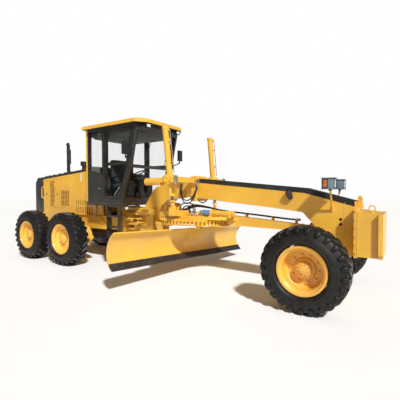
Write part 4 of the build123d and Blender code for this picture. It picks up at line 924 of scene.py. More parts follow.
# ---- controls ----
# Rows of blade levers with round knobs and rubber boots on both boxes, a gauge panel on the column,
# and three pedals. The console keeps its plain shape under them.
levers, knobs, gauges = bmesh.new(), bmesh.new(), bmesh.new()
for sign in (-1, 1):
    for i in range(4):
        y = sign * 0.33 + (i - 1.5) * 0.042
        bar(levers, (-0.67, y, 2.035), (-0.67, y, 2.06), 0.018, 12, 0.009)
        bar(levers, (-0.67, y, 2.05), (-0.7, y, 2.185), 0.005, 8)
        at = Matrix.Translation((-0.7, y, 2.195))
        bmesh.ops.create_uvsphere(knobs, u_segments=16, v_segments=10, radius=0.016, matrix=at)
for y in (-0.14, 0.14, 0.22):
    slab(levers, (-0.5925, y, 1.71), (0.015, 0.06, 0.1), 0.004)
    bar(levers, (-0.59, y, 1.7), (-0.53, y, 1.6), 0.008, 8)
dash = Matrix.Translation((-0.575, 0, 2.09)) @ Matrix.Rotation(radians(-35), 4, "Y")
block(levers, (-0.03, -0.15, -0.07), (0.02, 0.15, 0.07), 0.012, dash)
for y, r in ((-0.095, 0.034), (0.0, 0.04), (0.095, 0.034)):
    dial = [(0.028, r), (0.036, r), (0.036, r * 0.85), (0.031, r * 0.82), (0.031, 0.0)]
    turned(gauges, dial, dash @ Vector((0, y, 0)), dash.to_3x3() @ -X, 24)
painted("levers", levers, satin_black)
painted("lever_knobs", knobs, black_rubber)
painted("gauges", gauges, white_vinyl)

# ---- ladders ----
# Bolted steel ladders in dark enamel. Each tread is a folded channel punched with raised grip buttons.
treads = bmesh.new()
for side, sign in SIDES:
    for z in (0.745, 0.985, 1.225):
        for i in range(21):
            spot = Vector((-0.79 + 0.05 * (i // 3), sign * (0.79 + 0.04 * (i % 3)), z))
            bar(treads, spot - Z * 0.001, spot + Z * 0.005, 0.011, 12, 0.007)
        block(treads, (-0.818, sign * 0.888, z - 0.032), (-0.462, sign * 0.906, z + 0.004), 0.004)
        for x, out in ((-0.83, -X), (-0.45, X)):
            bolt(treads, (x, sign * 0.83, z - 0.014), out, 0.018, 0.009)
painted("ladder_treads", treads, cab_grey)

# ---- main beam ----
# The beam is a welded box. A black folded cover with a grit coat caps its top, parted at the saddle.
# Foot plates are welded up its foot, and a rubber boot and two plugged holes sit in its sides.
BEAM_HALF = 0.19
BEAM_TOP = ((0.74, 2.055), (1.23, 2.055), (3.49, 1.835), (4.3, 1.615))
COVER_DEPTH, COVER_PROUD, COVER_BOLTS = 0.082, 0.004, 0.4
BOOT = [(-0.075, 0.036), (-0.06, 0.044), (0.03, 0.058), (0.07, 0.054), (0.082, 0.04), (0.085, 0.0)]


def beam_top(x):
    (x0, z0), (x1, z1) = next(pair for pair in zip(BEAM_TOP, BEAM_TOP[1:]) if x <= pair[1][0])
    return z0 + (z1 - z0) * (x - x0) / (x1 - x0)


grit = Finish("grit_black", Roughness=0.75, Specular_IOR_Level=0.35)
worn = grit.noise(3.5, 6, roughness=0.7).rise(0.5, 0.8)
grit.feed(Base_Color=grit.mix(worn * 0.6, colour(40, 40, 43), colour(88, 86, 84)))
grains = grit.node("ShaderNodeTexVoronoi", {}, {"Vector": grit.place(), "Scale": 420})
grit.feed(Normal=grit.relief(grains, 0.0012))
cover, welds, plugs, boots = [bmesh.new() for _ in range(4)]
side_y = BEAM_HALF + COVER_PROUD
for start, end in ((0.745, 1.03), (1.285, 4.285)):
    low = [(x, beam_top(x)) for x in (start, *(x for x, z in BEAM_TOP if start < x < end), end)]
    high = [(x, z + COVER_PROUD) for x, z in low]
    wedge(cover, low + high[::-1], "y", -side_y, side_y)
    skirt = [(x, z - COVER_DEPTH) for x, z in low] + high[::-1]
    for sign in (-1, 1):
        wedge(cover, skirt, "y", sign * (BEAM_HALF + 0.0005), sign * side_y)
        for i in range(int((end - start - 0.09) / COVER_BOLTS) + 1):
            x = start + 0.06 + COVER_BOLTS * i
            bolt(cover, (x, sign * side_y, beam_top(x) - 0.045), (0, sign, 0), 0.018, 0.008, i)
painted("beam_cover", cover, grit.material, "front_machine")
for sign in (-1, 1):
    y, out = sign * BEAM_HALF, Vector((0, sign, 0))
    bar(welds, (4.135, y, 0.76), (4.135, y, 1.6), 0.006, 8)
    bent_bar(welds, [(1.3, y, 1.645), (2.85, y, 1.492), (3.45, y, 1.424)], 0.006, 0.1, 1)
    for z in (1.372, 1.205, 0.995):
        slab(welds, (-0.14, sign * 0.325, z), (0.21, 0.054, 0.012), 0.003)
    for z in (1.319, 1.237):
        turned(plugs, [(0, 0.024), (0.003, 0.024), (0.004, 0.019), (0.002, 0.0)], (4.08, y, z), out, 24)
    foot = Vector((3.24, y, 1.715))
    turned(boots, BOOT, foot + out * 0.046, (-0.3, sign * 0.25, 1), 28)
    bar(boots, foot - out * 0.003 + Z * 0.03, foot + out * 0.05 + Z * 0.03, 0.018, 16)
    for z in (1.455, 1.52):
        bolt(welds, (3.95, sign * 0.202, z), out, 0.02, 0.01)
painted("beam_welds", welds, machine_yellow, "front_machine", 50)
painted("beam_plugs", plugs, black_rubber, "front_machine")
painted("beam_boots", boots, satin_black, "front_machine")

# ---- push block ----
# A plate box bolted to the nose through its rear flange, with a lifting eye on top and a row of bolts
# round its front plate.


def hoop(radius, thick):
    """The profile of a round ring, turned about an axis through its middle."""
    spots = [2 * pi * k / 10 for k in range(11)]
    return [(thick * sin(a), radius + thick * cos(a)) for a in spots]


push = bmesh.new()
for sign in (-1, 1):
    out = Vector((0, sign, 0))
    for i in range(6):
        z = 0.82 + 0.13 * i
        bolt(push, (4.325, sign * 0.4, z), out, 0.024, 0.013, 0.4 * i)
        bolt(push, (4.3, sign * 0.335, z), -X, 0.024, 0.013, 0.4 * i)
    for z in (0.86, 1.1, 1.34):
        bolt(push, (4.64, sign * 0.44, z), -X, 0.022, 0.012)
    bar(push, (4.355, sign * 0.402, 0.78), (4.355, sign * 0.402, 1.46), 0.005, 8)
    bush = [(0, 0.03), (0.004, 0.032), (0.004, 0.024), (0, 0.022)]
    turned(push, bush, (4.345, sign * 0.061, 1.655), out, 24)
turned(push, hoop(0.042, 0.01), (4.54, -0.24, 1.515), Y, 32)
stem = [(-0.02, 0.0), (-0.02, 0.026), (0.012, 0.026), (0.022, 0.012), (0.03, 0.0)]
turned(push, stem, (4.54, -0.24, 1.447), Z, 20)
painted("push_block_fittings", push, machine_yellow, "front_machine")

# ---- head lamps ----
# Folded blue-grey housings on yellow posts, with overhanging top and bottom plates. A clear ribbed
# lens faces ahead and an amber turn lens faces out, both behind frames.
LAMP_IN, LAMP_OUT = 0.328, 0.532
amber = ribbed("amber_lens", "X", 700.0, colour(176, 84, 26), colour(214, 116, 40), 0.0012,
               Coat_Weight=0.8, Roughness=0.2, Specular_IOR_Level=0.6)
shells, ambers, fronts, bars = [bmesh.new() for _ in range(4)]
for sign in (-1, 1):
    low, high = sorted((sign * LAMP_IN, sign * LAMP_OUT))
    block(shells, (3.848, low, 1.8135), (4.032, high, 1.9965), 0.004)
    for z in (1.812, 1.988):
        block(shells, (3.835, low - 0.014, z), (4.055, high + 0.014, z + 0.01), 0.003)
    border(shells, oblong(low + 0.008, 1.83, high - 0.008, 1.98), 0.014, 0.012, crosswise(1, 4.031))
    block(fronts, (4.028, low + 0.022, 1.844), (4.04, high - 0.022, 1.966), 0.003)
    block(ambers, (3.872, sign * 0.53, 1.85), (3.93, sign * 0.545, 1.962), 0.005)
    block(bars, (3.858, sign * 0.53, 1.838), (3.944, sign * 0.542, 1.974), 0.004)
    for z in (1.85, 1.96):
        bolt(shells, (3.985, sign * LAMP_OUT, z), (0, sign, 0), 0.014, 0.007)
    bar(bars, (3.96, sign * 0.43, 1.79), (3.96, sign * 0.43, 1.812), 0.026, 20)
painted("lamp_shells", shells, blue_grey, "front_machine")
painted("lamp_amber", ambers, amber, "front_machine")
painted("lamp_fronts", fronts, clear_lens, "front_machine")
painted("lamp_bars", bars, satin_black, "front_machine")

# ---- saddle and lift cylinders ----
# The saddle is clamped round the beam by bolts. Each lift cylinder swings in it on capped bosses, with
# a gland nut at its mouth, a welded cap, ports and a steel pipe down its side. The rods are chromed.
PIN = Vector((1.012, 0.832, 2.025))                 # where a barrel swings in the saddle, on the left
BANK = radians(-3.2)                                # how far the drawbar is rolled
ARM_CAP = [(0, 0.07), (0.014, 0.07), (0.02, 0.062), (0.02, 0.036), (0.01, 0.03), (0.01, 0.0)]
BOSS = [(-0.03, 0.0), (-0.03, 0.098), (-0.004, 0.104), (0.004, 0.104), (0.01, 0.098), (0.01, 0.07)]
GLAND = [(-0.06, 0.062), (-0.055, 0.072), (-0.004, 0.072), (0.002, 0.064), (0.002, 0.036)]
COLLAR = [(-0.075, 0.062), (-0.075, 0.074), (-0.065, 0.078), (0.065, 0.078), (0.075, 0.074), (0.075, 0.062)]
chrome = mottled("chrome_rod", 0, 0, None, (30, 3, 0.12, 0.05), (300, 2, 0.0001), Metallic=1.0,
                 Base_Color=colour(150, 152, 156))
saddle = bmesh.new()
for side, sign in SIDES:
    coat(chrome, f"lift_rod_{side}", f"hitch_rod_{side}")
for sign in (-1, 1):
    out = Vector((0, sign, 0))
    for x in (1.115, 1.199):
        for z in (1.6, 1.7, 1.8, 1.9):
            bolt(saddle, (x, sign * 0.23, z), out, 0.026, 0.015, x * 9 + z)
    for y in (0.06, 0.15):
        for x in (1.125, 1.189):
            bolt(saddle, (x, sign * y, 2.105), Z, 0.028, 0.016, y * 30)
    for y, way in ((0.712, -1), (0.952, 1)):
        turned(saddle, ARM_CAP, (PIN.x, sign * y, PIN.z), out * way, 32)
        turned(saddle, BOSS, (PIN.x, sign * (y - way * 0.01), PIN.z), out * way, 40)
    bolt(saddle, (0.367, sign * PIN.y, 1.99), -X, 0.05, 0.016)
    lip = [(0, 0.075), (0.004, 0.086), (0.026, 0.086), (0.03, 0.075)]
    turned(saddle, lip, (0.76, sign * PIN.y, 1.99), X, 40)
    band(saddle, (0.387, sign * PIN.y, 1.99), X, 0.075, 0.08, 0.007, 40)
painted("saddle_bolts", saddle, machine_yellow, "front_machine")
for side, sign in SIDES:
    barrel, pipes, cap = bmesh.new(), bmesh.new(), bmesh.new()
    body, pin_y = f"lift_barrel_{side}", sign * PIN.y
    top = Vector((PIN.x, pin_y, PIN.z))
    foot = Vector((1.053, 0, 1.11)) + Matrix.Rotation(BANK, 3, "X") @ Vector((0, pin_y, 0.365))
    down = (foot - top).normalized()
    head, mouth, around = top - down * 1.063, top + down * 0.338, down.cross(Y).normalized()
    ports = (head + down * 0.08, mouth - down * 0.1)
    turned(barrel, [(0.0, 0.064), (0.0, 0.07), (0.045, 0.07), (0.055, 0.062)], head, down, 40)
    turned(barrel, GLAND, mouth, down, 40)
    turned(barrel, COLLAR, top, down, 40)
    for i in range(6):
        spoke = Matrix.Rotation(2 * pi * i / 6, 3, down) @ around
        bolt(barrel, mouth - down * 0.03 + spoke * 0.071, spoke, 0.018, 0.008)
    for spot, way, run in zip(ports, (1, -1), (0.08, 0.06)):
        bar(barrel, spot + around * 0.0558, spot + around * 0.0961, 0.022, 16)
        bar(pipes, spot + around * 0.093, spot + around * 0.102, 0.014, 6)
        line = [point + around * 0.112 for point in (spot, spot + down * way * run, top - down * way * 0.12)]
        bent_bar(pipes, [spot + around * 0.1, *line], 0.009, 0.03)
    painted(f"lift_barrel_parts_{side}", barrel, machine_yellow, body)
    for drop in (0.35, 0.75):
        clip = Matrix.Translation(top - down * drop + around * 0.062)
        clip = clip @ Matrix((Y, around, -down)).transposed().to_4x4()
        block(pipes, (-0.018, -0.012, -0.01), (0.018, 0.055, 0.01), 0.003, clip)
    painted(f"lift_pipes_{side}", pipes, zinc, body)
    band(cap, foot - down * 0.068, down, 0.054, 0.06, 0.014)
    bolt_ring(cap, foot - down * 0.084, around * 0.044, down, 4, -down, 0.016, 0.009)
    painted(f"lift_ball_cap_{side}", cap, machine_yellow, f"lift_rod_{side}")

# ---- hoses on the beam ----
# Steel pipes come along the beam to a bulkhead ahead of the cab. Black hydraulic hoses hang from it
# in free loops to the saddle's ports, with crimped zinc ends. A lock valve is bolted to each arm.
HOSE_Y, PIPE_STEP = 0.212, 0.024
hose_rubber = mottled("hose_rubber", colour(24, 24, 26), colour(46, 46, 48), (9, 4), (60, 3, 0.2, 0.4),
                      (500, 2, 0.0003), Specular_IOR_Level=0.4)


def hose(name, points, diameter, body):
    """A free hose: a smooth curve through its guide points, with a crimped fitting at each end."""
    points = [Vector(point) for point in points]
    curve, spline = tube(name, "NURBS", points, diameter / 2, 3)
    curve.resolution_u, curve.render_resolution_u = 10, 10
    spline.order_u, spline.use_endpoint_u = 3, True
    curve.materials.append(hose_rubber)
    piece = placed(name, curve)
    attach(piece, body)
    joints = [points[0]] + [a.lerp(b, 0.5) for a, b in zip(points[1:-1], points[2:-1])] + [points[-1]]
    length = 0.0
    for start, corner, end in zip(joints, points[1:-1], joints[1:]):
        line = bow(start, corner, end, 40)
        length += sum((b - a).length for a, b in zip(line, line[1:]))
    crimps = bmesh.new()
    for end, inner in ((points[0], points[1]), (points[-1], points[-2])):
        along = (inner - end).normalized()
        crimp = ((-0.012, 0.0), (-0.012, 0.5), (-0.002, 0.62), (0.0, 0.72), (0.045, 0.68), (0.048, 0.52))
        turned(crimps, [(step, diameter * share) for step, share in crimp], end, along, 16)
        bar(crimps, end - along * 0.024, end - along * 0.004, diameter * 0.78, 6)
    painted(name + "_ends", crimps, zinc, body)


for side, sign in SIDES:
    blocks = bmesh.new()
    block(blocks, (1.221, sign * 0.915, 1.925), (1.268, sign * 0.975, 2.095), 0.006)
    for z in (1.96, 2.06):
        bar(blocks, (1.262, sign * 0.945, z), (1.286, sign * 0.945, z), 0.016, 6)
    block(blocks, (0.8, sign * BEAM_HALF, 2.000), (0.86, sign * 0.285, 2.06), 0.005)
    block(blocks, (1.225, sign * BEAM_HALF, 1.945), (1.275, sign * 0.285, 2.04), 0.005)
    for i in range(3):
        y = sign * (0.215 + PIPE_STEP * i)
        bar(blocks, (0.7, y, 2.035), (0.8, y, 2.035), 0.008, 12)
    painted(f"hose_blocks_{side}", blocks, zinc, "front_machine")
    for i, (low_z, splay) in enumerate(((1.64, 0.05), (1.575, 0.09))):
        first, last, y = 0.815 + 0.045 * i, 1.238 + 0.024 * i, HOSE_Y
        way = [
            (first, y, 1.99), (first - 0.005, y + splay * 0.2, 1.88),
            (first + 0.01, y + splay * 0.8, low_z + 0.1),
            (first + 0.11, y + splay, low_z - 0.05), (last - 0.15, y + splay, low_z - 0.05),
            (last - 0.02, y + splay, low_z + 0.1), (last, y + splay * 0.3, 1.84), (last, y + 0.012, 1.935),
        ]
        hose(f"saddle_hose_{i + 1}_{side}", [(x, sign * out, z) for x, out, z in way], 0.024, "front_machine")

# ---- drawbar ----
# A welded A-frame of plate with bolted shoe caps round the circle. On it lie the circle's side
# cylinder, wrapped in blue sheet at one end, the swing motor, a bank of valves, and their hoses.
BALL = Vector((3.6, 0, 1.11))
CIRCLE_X, SHOE_R, PLATE_TOP = 1.06, 0.56, 1.25
CYLINDER = Vector((1.46, -0.375, 1.318)), Vector((2.14, -0.213, 1.318))
MOTOR = Vector((0.69, -0.225, 1.475))
MOTOR_CASE = [(0, 0.088), (0.014, 0.088), (0.014, 0.066), (0.036, 0.066), (0.044, 0.054), (0.044, 0.0)]
CANISTERS = ((0.655, -0.555, 1.5), (0.765, -0.49, 1.46), (0.875, -0.55, 1.44))
BANK_TOP = 1.35
ROLLED = Matrix.Translation(BALL) @ Matrix.Rotation(BANK, 4, "X") @ Matrix.Translation(-BALL)


def about(centre, angle, axis):
    """A turn about an axis through a place."""
    centre = Vector(centre)
    return Matrix.Translation(centre) @ Matrix.Rotation(radians(angle), 4, axis) @ Matrix.Translation(-centre)


SWUNG = ROLLED @ about((CIRCLE_X, 0, 0), -4.2, "Z")
PLATE_BOLTS = ((0.78, 0.55), (0.9, 0.55), (1.3, 0.56), (1.5, 0.5), (1.68, 0.44), (1.88, 0.32), (2.04, 0.18))
drawbar, wrap, valves = bmesh.new(), bmesh.new(), bmesh.new()
for sign in (-1, 1):
    for x, y in PLATE_BOLTS:
        bolt(drawbar, (x, sign * y, PLATE_TOP), Z, 0.03, 0.018, x * 7)
    for z in (1.3, 1.34, 1.38):
        bolt(drawbar, (1.113, sign * 0.8, z), X, 0.024, 0.013, z)
    block(drawbar, (1.115, sign * 0.45 - 0.012, PLATE_TOP), (1.25, sign * 0.45 + 0.012, 1.33), 0.003)
for degrees in (45, 135, 225, 315):
    for spread in (-6, 6):
        a = radians(degrees + spread)
        bolt(drawbar, (CIRCLE_X + SHOE_R * cos(a), SHOE_R * sin(a), PLATE_TOP), Z, 0.032, 0.02, a)
    shoe = about((CIRCLE_X, 0, 0), degrees, "Z") @ Matrix.Translation((CIRCLE_X + SHOE_R, 0, PLATE_TOP))
    block(drawbar, (-0.05, -0.09, 0), (0.05, 0.09, 0.014), 0.004, shoe)
for z in (1.075, 1.175):
    for y in (-0.08, 0.08):
        bolt(drawbar, (3.4, y, 1.176), Z, 0.026, 0.016, z)
# side cylinder on the plate, in two cradles
START, END = CYLINDER
along = (END - START).normalized()
case = [(0, 0.0), (0, 0.052), (0.012, 0.06), (0.65, 0.06), (0.66, 0.067), (0.692, 0.067), (0.699, 0.0)]
turned(drawbar, case, START, along, 40)
for share in (0.3, 0.86):
    spot = START.lerp(END, share)
    band(drawbar, spot, along, 0.06, 0.068, 0.018)
    slab(drawbar, (spot.x, spot.y, 1.2625), (0.06, 0.11, 0.045), 0.004)
# swing motor on the gearbox
turned(drawbar, MOTOR_CASE, MOTOR, Z, 40)
bolt_ring(drawbar, MOTOR + Z * 0.014, (0.077, 0, 0), "Z", 6, Z, 0.016, 0.009)
block(drawbar, (0.79, -0.2, PLATE_TOP - 0.002), (0.93, -0.06, 1.345), 0.008)
for x in (0.62, 0.76):
    for y in (-0.31, -0.14):
        bolt(drawbar, (x, y, 1.405), Z, 0.022, 0.013, x)
# valve bank beside the gearbox: a block with three canisters, and a pipe ahead of it
block(drawbar, (0.6, -0.6, PLATE_TOP - 0.002), (0.93, -0.43, BANK_TOP), 0.008)
for x, y, top in CANISTERS:
    tall = top - BANK_TOP
    can = [(0, 0.05), (0.012, 0.05), (0.014, 0.043), (tall - 0.012, 0.043), (tall, 0.036), (tall, 0.0)]
    turned(drawbar, can, (x, y, BANK_TOP), Z, 28)
    bolt(drawbar, (x, y, top), Z, 0.036, 0.018, x)
for x in (0.63, 0.71, 0.82, 0.91):
    bolt(drawbar, (x, -0.6, 1.3), -Y, 0.02, 0.012, x)
bar(drawbar, (0.92, -0.5, 1.325), (1.42, -0.4, 1.325), 0.02, 20)
# clips that hold the hoses off the drawbar's spine
for x, z in ((1.78, 1.3), (2.3, 1.265), (2.85, 1.22), (3.3, 1.19)):
    slab(drawbar, (x, 0, z + 0.0275), (0.024, 0.11, 0.115), 0.004)
moved(drawbar, drawbar.verts, ROLLED)
painted("drawbar_fittings", drawbar, machine_yellow, "drawbar")
sheet = [(0.02, 0.058), (0.02, 0.0665), (0.035, 0.068), (0.11, 0.0665), (0.17, 0.068), (0.185, 0.066),
         (0.185, 0.058)]
turned(wrap, sheet, START, along, 40)
moved(wrap, wrap.verts, ROLLED)
blue_sheet = Finish("blue_sheet", Roughness=0.45)
folds = blue_sheet.noise(16, 5, roughness=0.65)
# the colour follows the folds, lighter on their crests and darker in their hollows: painted highlight and
# shade
blue_sheet.feed(Base_Color=blue_sheet.mix(folds, colour(62, 104, 150), colour(104, 146, 186)))
blue_sheet.feed(Normal=blue_sheet.relief(folds, 0.006))
painted("cylinder_wrap", wrap, blue_sheet.material, "drawbar")
for y, z in ((-0.15, 1.36), (-0.19, 1.36), (-0.23, 1.36), (-0.27, 1.33), (-0.31, 1.33)):
    bar(valves, (0.78, y, z), (0.796, y, z), 0.019, 6)
for y in (-0.03, 0.0, 0.03):
    bar(valves, (3.325, y, 1.262), (3.37, y, 1.262), 0.014, 6)
moved(valves, valves.verts, ROLLED)
painted("valve_fittings", valves, zinc, "drawbar")


def rolled_hose(name, way, diameter):
    hose(name, [ROLLED @ Vector(spot) for spot in way], diameter, "drawbar")


for i, y in enumerate((-0.032, 0.0, 0.032)):
    rolled_hose(f"drawbar_hose_{i + 1}", [
        (0.8, -0.23 + 0.04 * i, 1.36), (0.93, -0.23 + 0.04 * i, 1.37),
        (1.1, -0.19 + 0.05 * i, 1.5 - 0.02 * i), (1.4, y - 0.04, 1.45 - 0.01 * i), (1.78, y, 1.372),
        (2.3, y, 1.336), (2.85, y, 1.292), (3.2, y, 1.262), (3.33, y, 1.262),
    ], 0.031)
for i, arch in enumerate((1.52, 1.46)):
    rolled_hose(f"bank_hose_{i + 1}", [
        (0.96 + 0.05 * i, -0.475 + 0.04 * i, 1.276), (0.965 + 0.05 * i, -0.475 + 0.04 * i, arch - 0.06),
        (1.06 + 0.03 * i, -0.44, arch), (1.22, -0.41 + 0.01 * i, arch - 0.01),
        (1.36 - 0.04 * i, -0.47, arch - 0.05), (1.37 - 0.04 * i, -0.485, 1.276),
    ], 0.024)
for i in range(2):
    out = 0.012 * i
    rolled_hose(f"cylinder_hose_{i + 1}", [
        (0.8, -0.27 - 0.04 * i, 1.33), (0.92, -0.28 - 0.04 * i, 1.35), (1.02, -0.34 - out, 1.375 - out),
        (1.13 + 2 * out, -0.43 - out, 1.405 - out), (1.22 + 3 * out, -0.47 - out, 1.37),
        (1.235 + 3 * out, -0.475 - out, 1.272),
    ], 0.022)

# ---- circle and its arms ----
# The toothed ring turns in the drawbar's shoes, with a second row of teeth on a flange under it. Bolts
# and capped pins tie it to the two arms, and a short cylinder sits under its rear on the right.
PIVOT = Vector((0.6833, 0, 0.475))                  # the blade's pitch axis, at the foot of the arms
FLANGE = [(-0.08, 0.7), (-0.08, 0.788), (-0.074, 0.794), (-0.06, 0.794), (-0.06, 0.7),
          (-0.08, 0.7)]
PIN_CAP = [(0, 0.062), (0.01, 0.062), (0.016, 0.052), (0.016, 0.04), (0.022, 0.034), (0.022, 0.0)]
RAM = [(0, 0.0), (0, 0.05), (0.012, 0.058), (0.19, 0.058), (0.2, 0.05), (0.2, 0.03), (0.3, 0.028),
       (0.3, 0.0)]
TEETH = 60
arms = bmesh.new()
for sign in (-1, 1):
    out, foot = Vector((0, sign, 0)), PIVOT + Vector((0, sign * 0.7, 0))
    for x in (0.6, 0.74, 0.88, 1.02):
        bolt(arms, (x, sign * 0.7, 1.065), out, 0.028, 0.016, x * 5)
    turned(arms, PIN_CAP, foot, out, 32)
    bolt(arms, foot + out * 0.02, out, 0.034, 0.018)
turned(arms, FLANGE, (CIRCLE_X, 0, 1.135), Z, 96)
for i in range(TEETH):
    spin = Matrix.Translation((CIRCLE_X, 0, 0)) @ Matrix.Rotation(2 * pi * i / TEETH, 4, "Z")
    block(arms, (0.74, -0.019, 1.072), (0.79, 0.019, 1.134), 0.006, spin)
tip_foot, tip_head = Vector((0.4, -0.5, 1.055)), Vector((0.62, -0.63, 0.86))
tip_way = (tip_head - tip_foot).normalized()
turned(arms, RAM, tip_foot, tip_way, 32)
tip_eye = tip_foot + tip_way * 0.03
bar(arms, tip_eye + X * 0.05, tip_eye - X * 0.09, 0.016, 16)
moved(arms, arms.verts, SWUNG)
painted("circle_fittings", arms, machine_yellow, "circle")

# ---- blade ----
# The moldboard is one curved plate with bolted end bits. The cutting edge is hard steel in black
# paint, held by flush plow bolts and worn bright in patches. Guides for its rails are bolted behind.
ARC_X, BLADE_Z, BLADE_R = 1.2403, 0.643, 0.405
BLADE_ENDS, HALF_ANGLE, EDGE_ANGLE, BOLTS = (-2.158, 2.112), 0.9355, 0.3704, 27
PLOW_BOLT = [(-0.002, 0.0), (-0.002, 0.015), (0.001, 0.014), (0.0022, 0.01), (0.0022, 0.0)]
LEANED = SWUNG @ about(PIVOT, 3, "Y")


def on_face(radius, angle, y):
    """A place on the blade's curve, and the way out from its hollow face."""
    out = Vector((cos(angle), 0, -sin(angle)))
    return Vector((ARC_X, y, BLADE_Z)) - out * radius, out


edge_steel = Finish("edge_steel", Metallic=0.25)
scuff = edge_steel.noise(6, 6, roughness=0.7, where=edge_steel.mapped(Scale=(4, 0.7, 4))).rise(0.45, 0.75)
edge_steel.feed(Base_Color=edge_steel.mix(scuff * 0.5, colour(46, 44, 45), colour(96, 92, 90)))
edge_steel.feed(Roughness=scuff * 0.15 + 0.42, Normal=edge_steel.relief(edge_steel.noise(90, 4), 0.001))
edge_steel = edge_steel.material
coat(edge_steel, "cutting_edge")
blade_yellow = enamel("blade_yellow", colour(246, 192, 74), colour(238, 178, 58), 0.3)
coat(blade_yellow, "moldboard")
plow, nuts, guide = bmesh.new(), bmesh.new(), bmesh.new()
for i in range(BOLTS):
    y = BLADE_ENDS[0] + 0.08 + (BLADE_ENDS[1] - BLADE_ENDS[0] - 0.16) * i / (BOLTS - 1)
    for share in (0.4, 0.8):
        spot, out = on_face(BLADE_R - 0.02, EDGE_ANGLE * share - HALF_ANGLE, y)
        turned(plow, PLOW_BOLT, spot, out, 12)
    spot, out = on_face(BLADE_R + 0.022, EDGE_ANGLE * 0.8 - HALF_ANGLE, y)
    bolt(nuts, spot, -out, 0.024, 0.014, i)
moved(plow, plow.verts, LEANED)
painted("plow_bolts", plow, edge_steel, "blade")
for y in (BLADE_ENDS[0] + 0.05, BLADE_ENDS[1] - 0.05):
    for k in range(6):
        spot, out = on_face(BLADE_R, -0.35 + 0.24 * k, y)
        turned(nuts, [(-0.002, 0.0), (-0.002, 0.013), (0.003, 0.011), (0.004, 0.0)], spot, out, 12)
moved(nuts, nuts.verts, LEANED)
painted("blade_nuts", nuts, blade_yellow, "blade")
for sign in (-1, 1):
    band(guide, (0.7613, sign * 0.53, BLADE_Z), Y, 0.04, 0.052, 0.03)
    for z in (BLADE_Z - 0.17, BLADE_Z + 0.17):
        slab(guide, (0.7075, sign * 0.6, z), (0.035, 0.084, 0.084), 0.005)
        for y in (-0.028, 0.028):
            bolt(guide, (0.69, sign * 0.6 + y, z), -X, 0.02, 0.012)
moved(guide, guide.verts, LEANED)
painted("blade_guides", guide, machine_yellow, "blade_carrier")

# ---- front axle ----
# A fabricated axle beam with capped lean pins, a capped middle pin and bolts, and kingpins with caps,
# bolts and grease nipples.
AXLE_X, KINGPIN_Y, KINGPIN_Z = 3.74, 0.8, (0.425, 0.745)
LEAN_CAP = [(0, 0.056), (0.004, 0.056), (0.007, 0.05), (0.007, 0.043)]
KINGPIN_CAP = [(0, 0.046), (0.006, 0.046), (0.01, 0.036), (0.01, 0.0)]
axle = bmesh.new()
for sign in (-1, 1):
    for out in (-X, X):
        x = AXLE_X + out.x * 0.125
        turned(axle, LEAN_CAP, (x, sign * 0.74, 0.575), out, 32)
        for y, z in ((0.4, 0.84), (0.5, 0.76)):
            bolt(axle, (x, sign * y, z), out, 0.02, 0.01, y * 9)
turned(axle, [(0, 0.066), (0.008, 0.066), (0.014, 0.058), (0.014, 0.047)], (3.895, 0, 0.855), X, 32)
painted("axle_caps", axle, machine_yellow, "front_machine")
for side, sign in SIDES:
    cap = bmesh.new()
    low, high = (Vector((AXLE_X, sign * KINGPIN_Y, z)) for z in KINGPIN_Z)
    turned(cap, KINGPIN_CAP, high, Z, 32)
    turned(cap, KINGPIN_CAP, low, -Z, 32)
    bolt_ring(cap, high + Z * 0.01, (0.026, 0, 0), "Z", 4, Z, 0.012, 0.006, 0.4)
    bar(cap, high + Z * 0.01, high + Z * 0.027, 0.004, 8)
    painted(f"kingpin_cap_{side}", cap, machine_yellow, f"lean_spider_{side}")

# ---- transmission ----
# Blue enamelled castings under the frame: a ribbed case with a bolted drive flange and side covers,
# and a ribbed sump with a bolted rim and a drain plug.
DRIVE = Vector((-1.56, 0, 0.9))
casting_blue = enamel("casting_blue", colour(34, 42, 82), colour(26, 32, 62), 0.4)
coat(casting_blue, "engine")
castings = bmesh.new()
for i in range(6):
    x = -2.04 + 0.085 * i
    block(castings, (x, -0.212, 0.7), (x + 0.018, 0.212, 1.13), 0.004)
turned(castings, [(0, 0.16), (0.03, 0.16), (0.03, 0.09), (0.12, 0.08), (0.12, 0.0)], DRIVE, X, 40)
bolt_ring(castings, DRIVE + X * 0.03, (0, 0.135, 0), "X", 10, X, 0.022, 0.012, turn=1)
for y in (-0.23, 0.23):
    slab(castings, (-1.82, y, 0.84), (0.32, 0.06, 0.24), 0.02)
block(castings, (-2.3, -0.27, 0.46), (-1.5, 0.27, 0.74), 0.045)
block(castings, (-2.22, -0.31, 0.66), (-1.58, 0.31, 0.7), 0.01)
block(castings, (-2.12, -0.18, 0.39), (-1.72, 0.18, 0.5), 0.04)
for i in range(7):
    x = -2.16 + 0.096 * i
    block(castings, (x, -0.285, 0.49), (x + 0.016, 0.285, 0.67), 0.004)
    for y in (-0.295, 0.295):
        bolt(castings, (x + 0.05, y, 0.7), Z, 0.022, 0.012, i)
bolt(castings, (-1.92, 0, 0.39), -Z, 0.04, 0.016)
painted("transmission_ribs", castings, casting_blue)

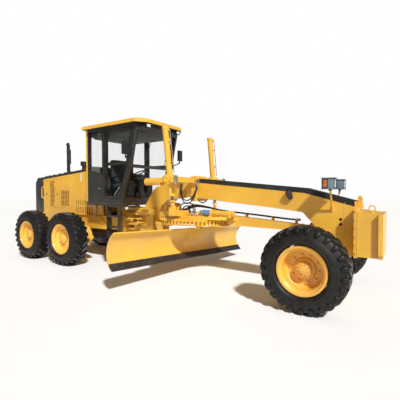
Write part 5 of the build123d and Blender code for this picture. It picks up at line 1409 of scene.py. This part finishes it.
# ---- rear frame, tandem cases and hitch ----
# Side rails with a brace under the hood's front corner, bolted covers on the tandem cases, pin caps
# on the hitch, a towing eye at the tail, and a small lamp under each front corner of the cab.
TANDEM_X, TANDEM_Y, WHEEL_Z = (-3.48, -1.96), 0.65, 0.643
BRACE = [(-1.78, 1.165), (-1.6, 1.165), (-1.44, 1.00), (-1.52, 0.965), (-1.78, 1.1)]
CASE_END = [(0, 0.045), (0, 0.062), (0.016, 0.062), (0.016, 0.036), (0.03, 0.03), (0.03, 0.0)]
frame_parts, lamps, lamp_lenses = bmesh.new(), bmesh.new(), bmesh.new()
for side, sign in SIDES:
    out = Vector((0, sign, 0))
    wedge(frame_parts, BRACE, "y", *sorted((sign * 0.4, sign * 0.475)))
    block(frame_parts, (-1.8, sign * 0.4, 1.15), (-1.5, sign * 0.475, 1.166), 0.003)
    for x in (-4.1, -3.7, -3.3, -2.2, -1.95):
        for z in (1.06, 0.92):
            bolt(frame_parts, (x, sign * 0.45, z), out, 0.03, 0.018, x)
    for x in TANDEM_X:
        hub = Vector((x, sign * TANDEM_Y, WHEEL_Z))
        bolt_ring(frame_parts, hub, (0.235, 0, 0), "Y", 10, -out, 0.024, 0.014, 0.2, 1)
        turned(frame_parts, [(0, 0.21), (0.012, 0.21), (0.018, 0.19), (0.018, 0.0)], hub, -out, 40)
    for i in range(9):
        bolt(frame_parts, (-3.3 + 0.145 * i, sign * 0.84, 0.865), out, 0.02, 0.012, i)
    turned(frame_parts, CASE_END, (-1.605, sign * 0.745, WHEEL_Z), X, 28)
    for z, way in ((1.165, Z), (1.02, -Z)):
        pin = [(0, 0.032), (0.006, 0.032), (0.006, 0.02), (0.012, 0.0)]
        turned(frame_parts, pin, (-0.9, sign * 0.25, z), way, 20)
    spot, look = Vector((-0.44, sign * 0.64, 1.4)), Vector((0.75, sign * 0.55, -0.35)).normalized()
    bowl = [(-0.05, 0.0), (-0.05, 0.02), (-0.03, 0.036), (0.0, 0.046), (0.01, 0.046), (0.01, 0.036)]
    turned(lamps, bowl, spot, look, 28)
    bar(lamps, spot - look * 0.03, (-0.5, sign * 0.62, 1.458), 0.01, 12)
    turned(lamp_lenses, [(0.004, 0.038), (0.008, 0.036), (0.012, 0.02), (0.013, 0.0)], spot, look, 28)
for z, way in ((1.385, Z), (0.82, -Z)):
    turned(frame_parts, [(0, 0.09), (0.01, 0.09), (0.016, 0.08), (0.016, 0.056)], (-0.64, 0, z), way, 40)
block(frame_parts, (-4.4, -0.1, 0.86), (-4.33, 0.1, 1.1), 0.01)
turned(frame_parts, hoop(0.05, 0.018), (-4.43, 0, 0.97), Z, 32)
painted("frame_fittings", frame_parts, machine_yellow)
painted("corner_lamps", lamps, satin_black)
painted("corner_lamp_lenses", lamp_lenses, clear_lens)
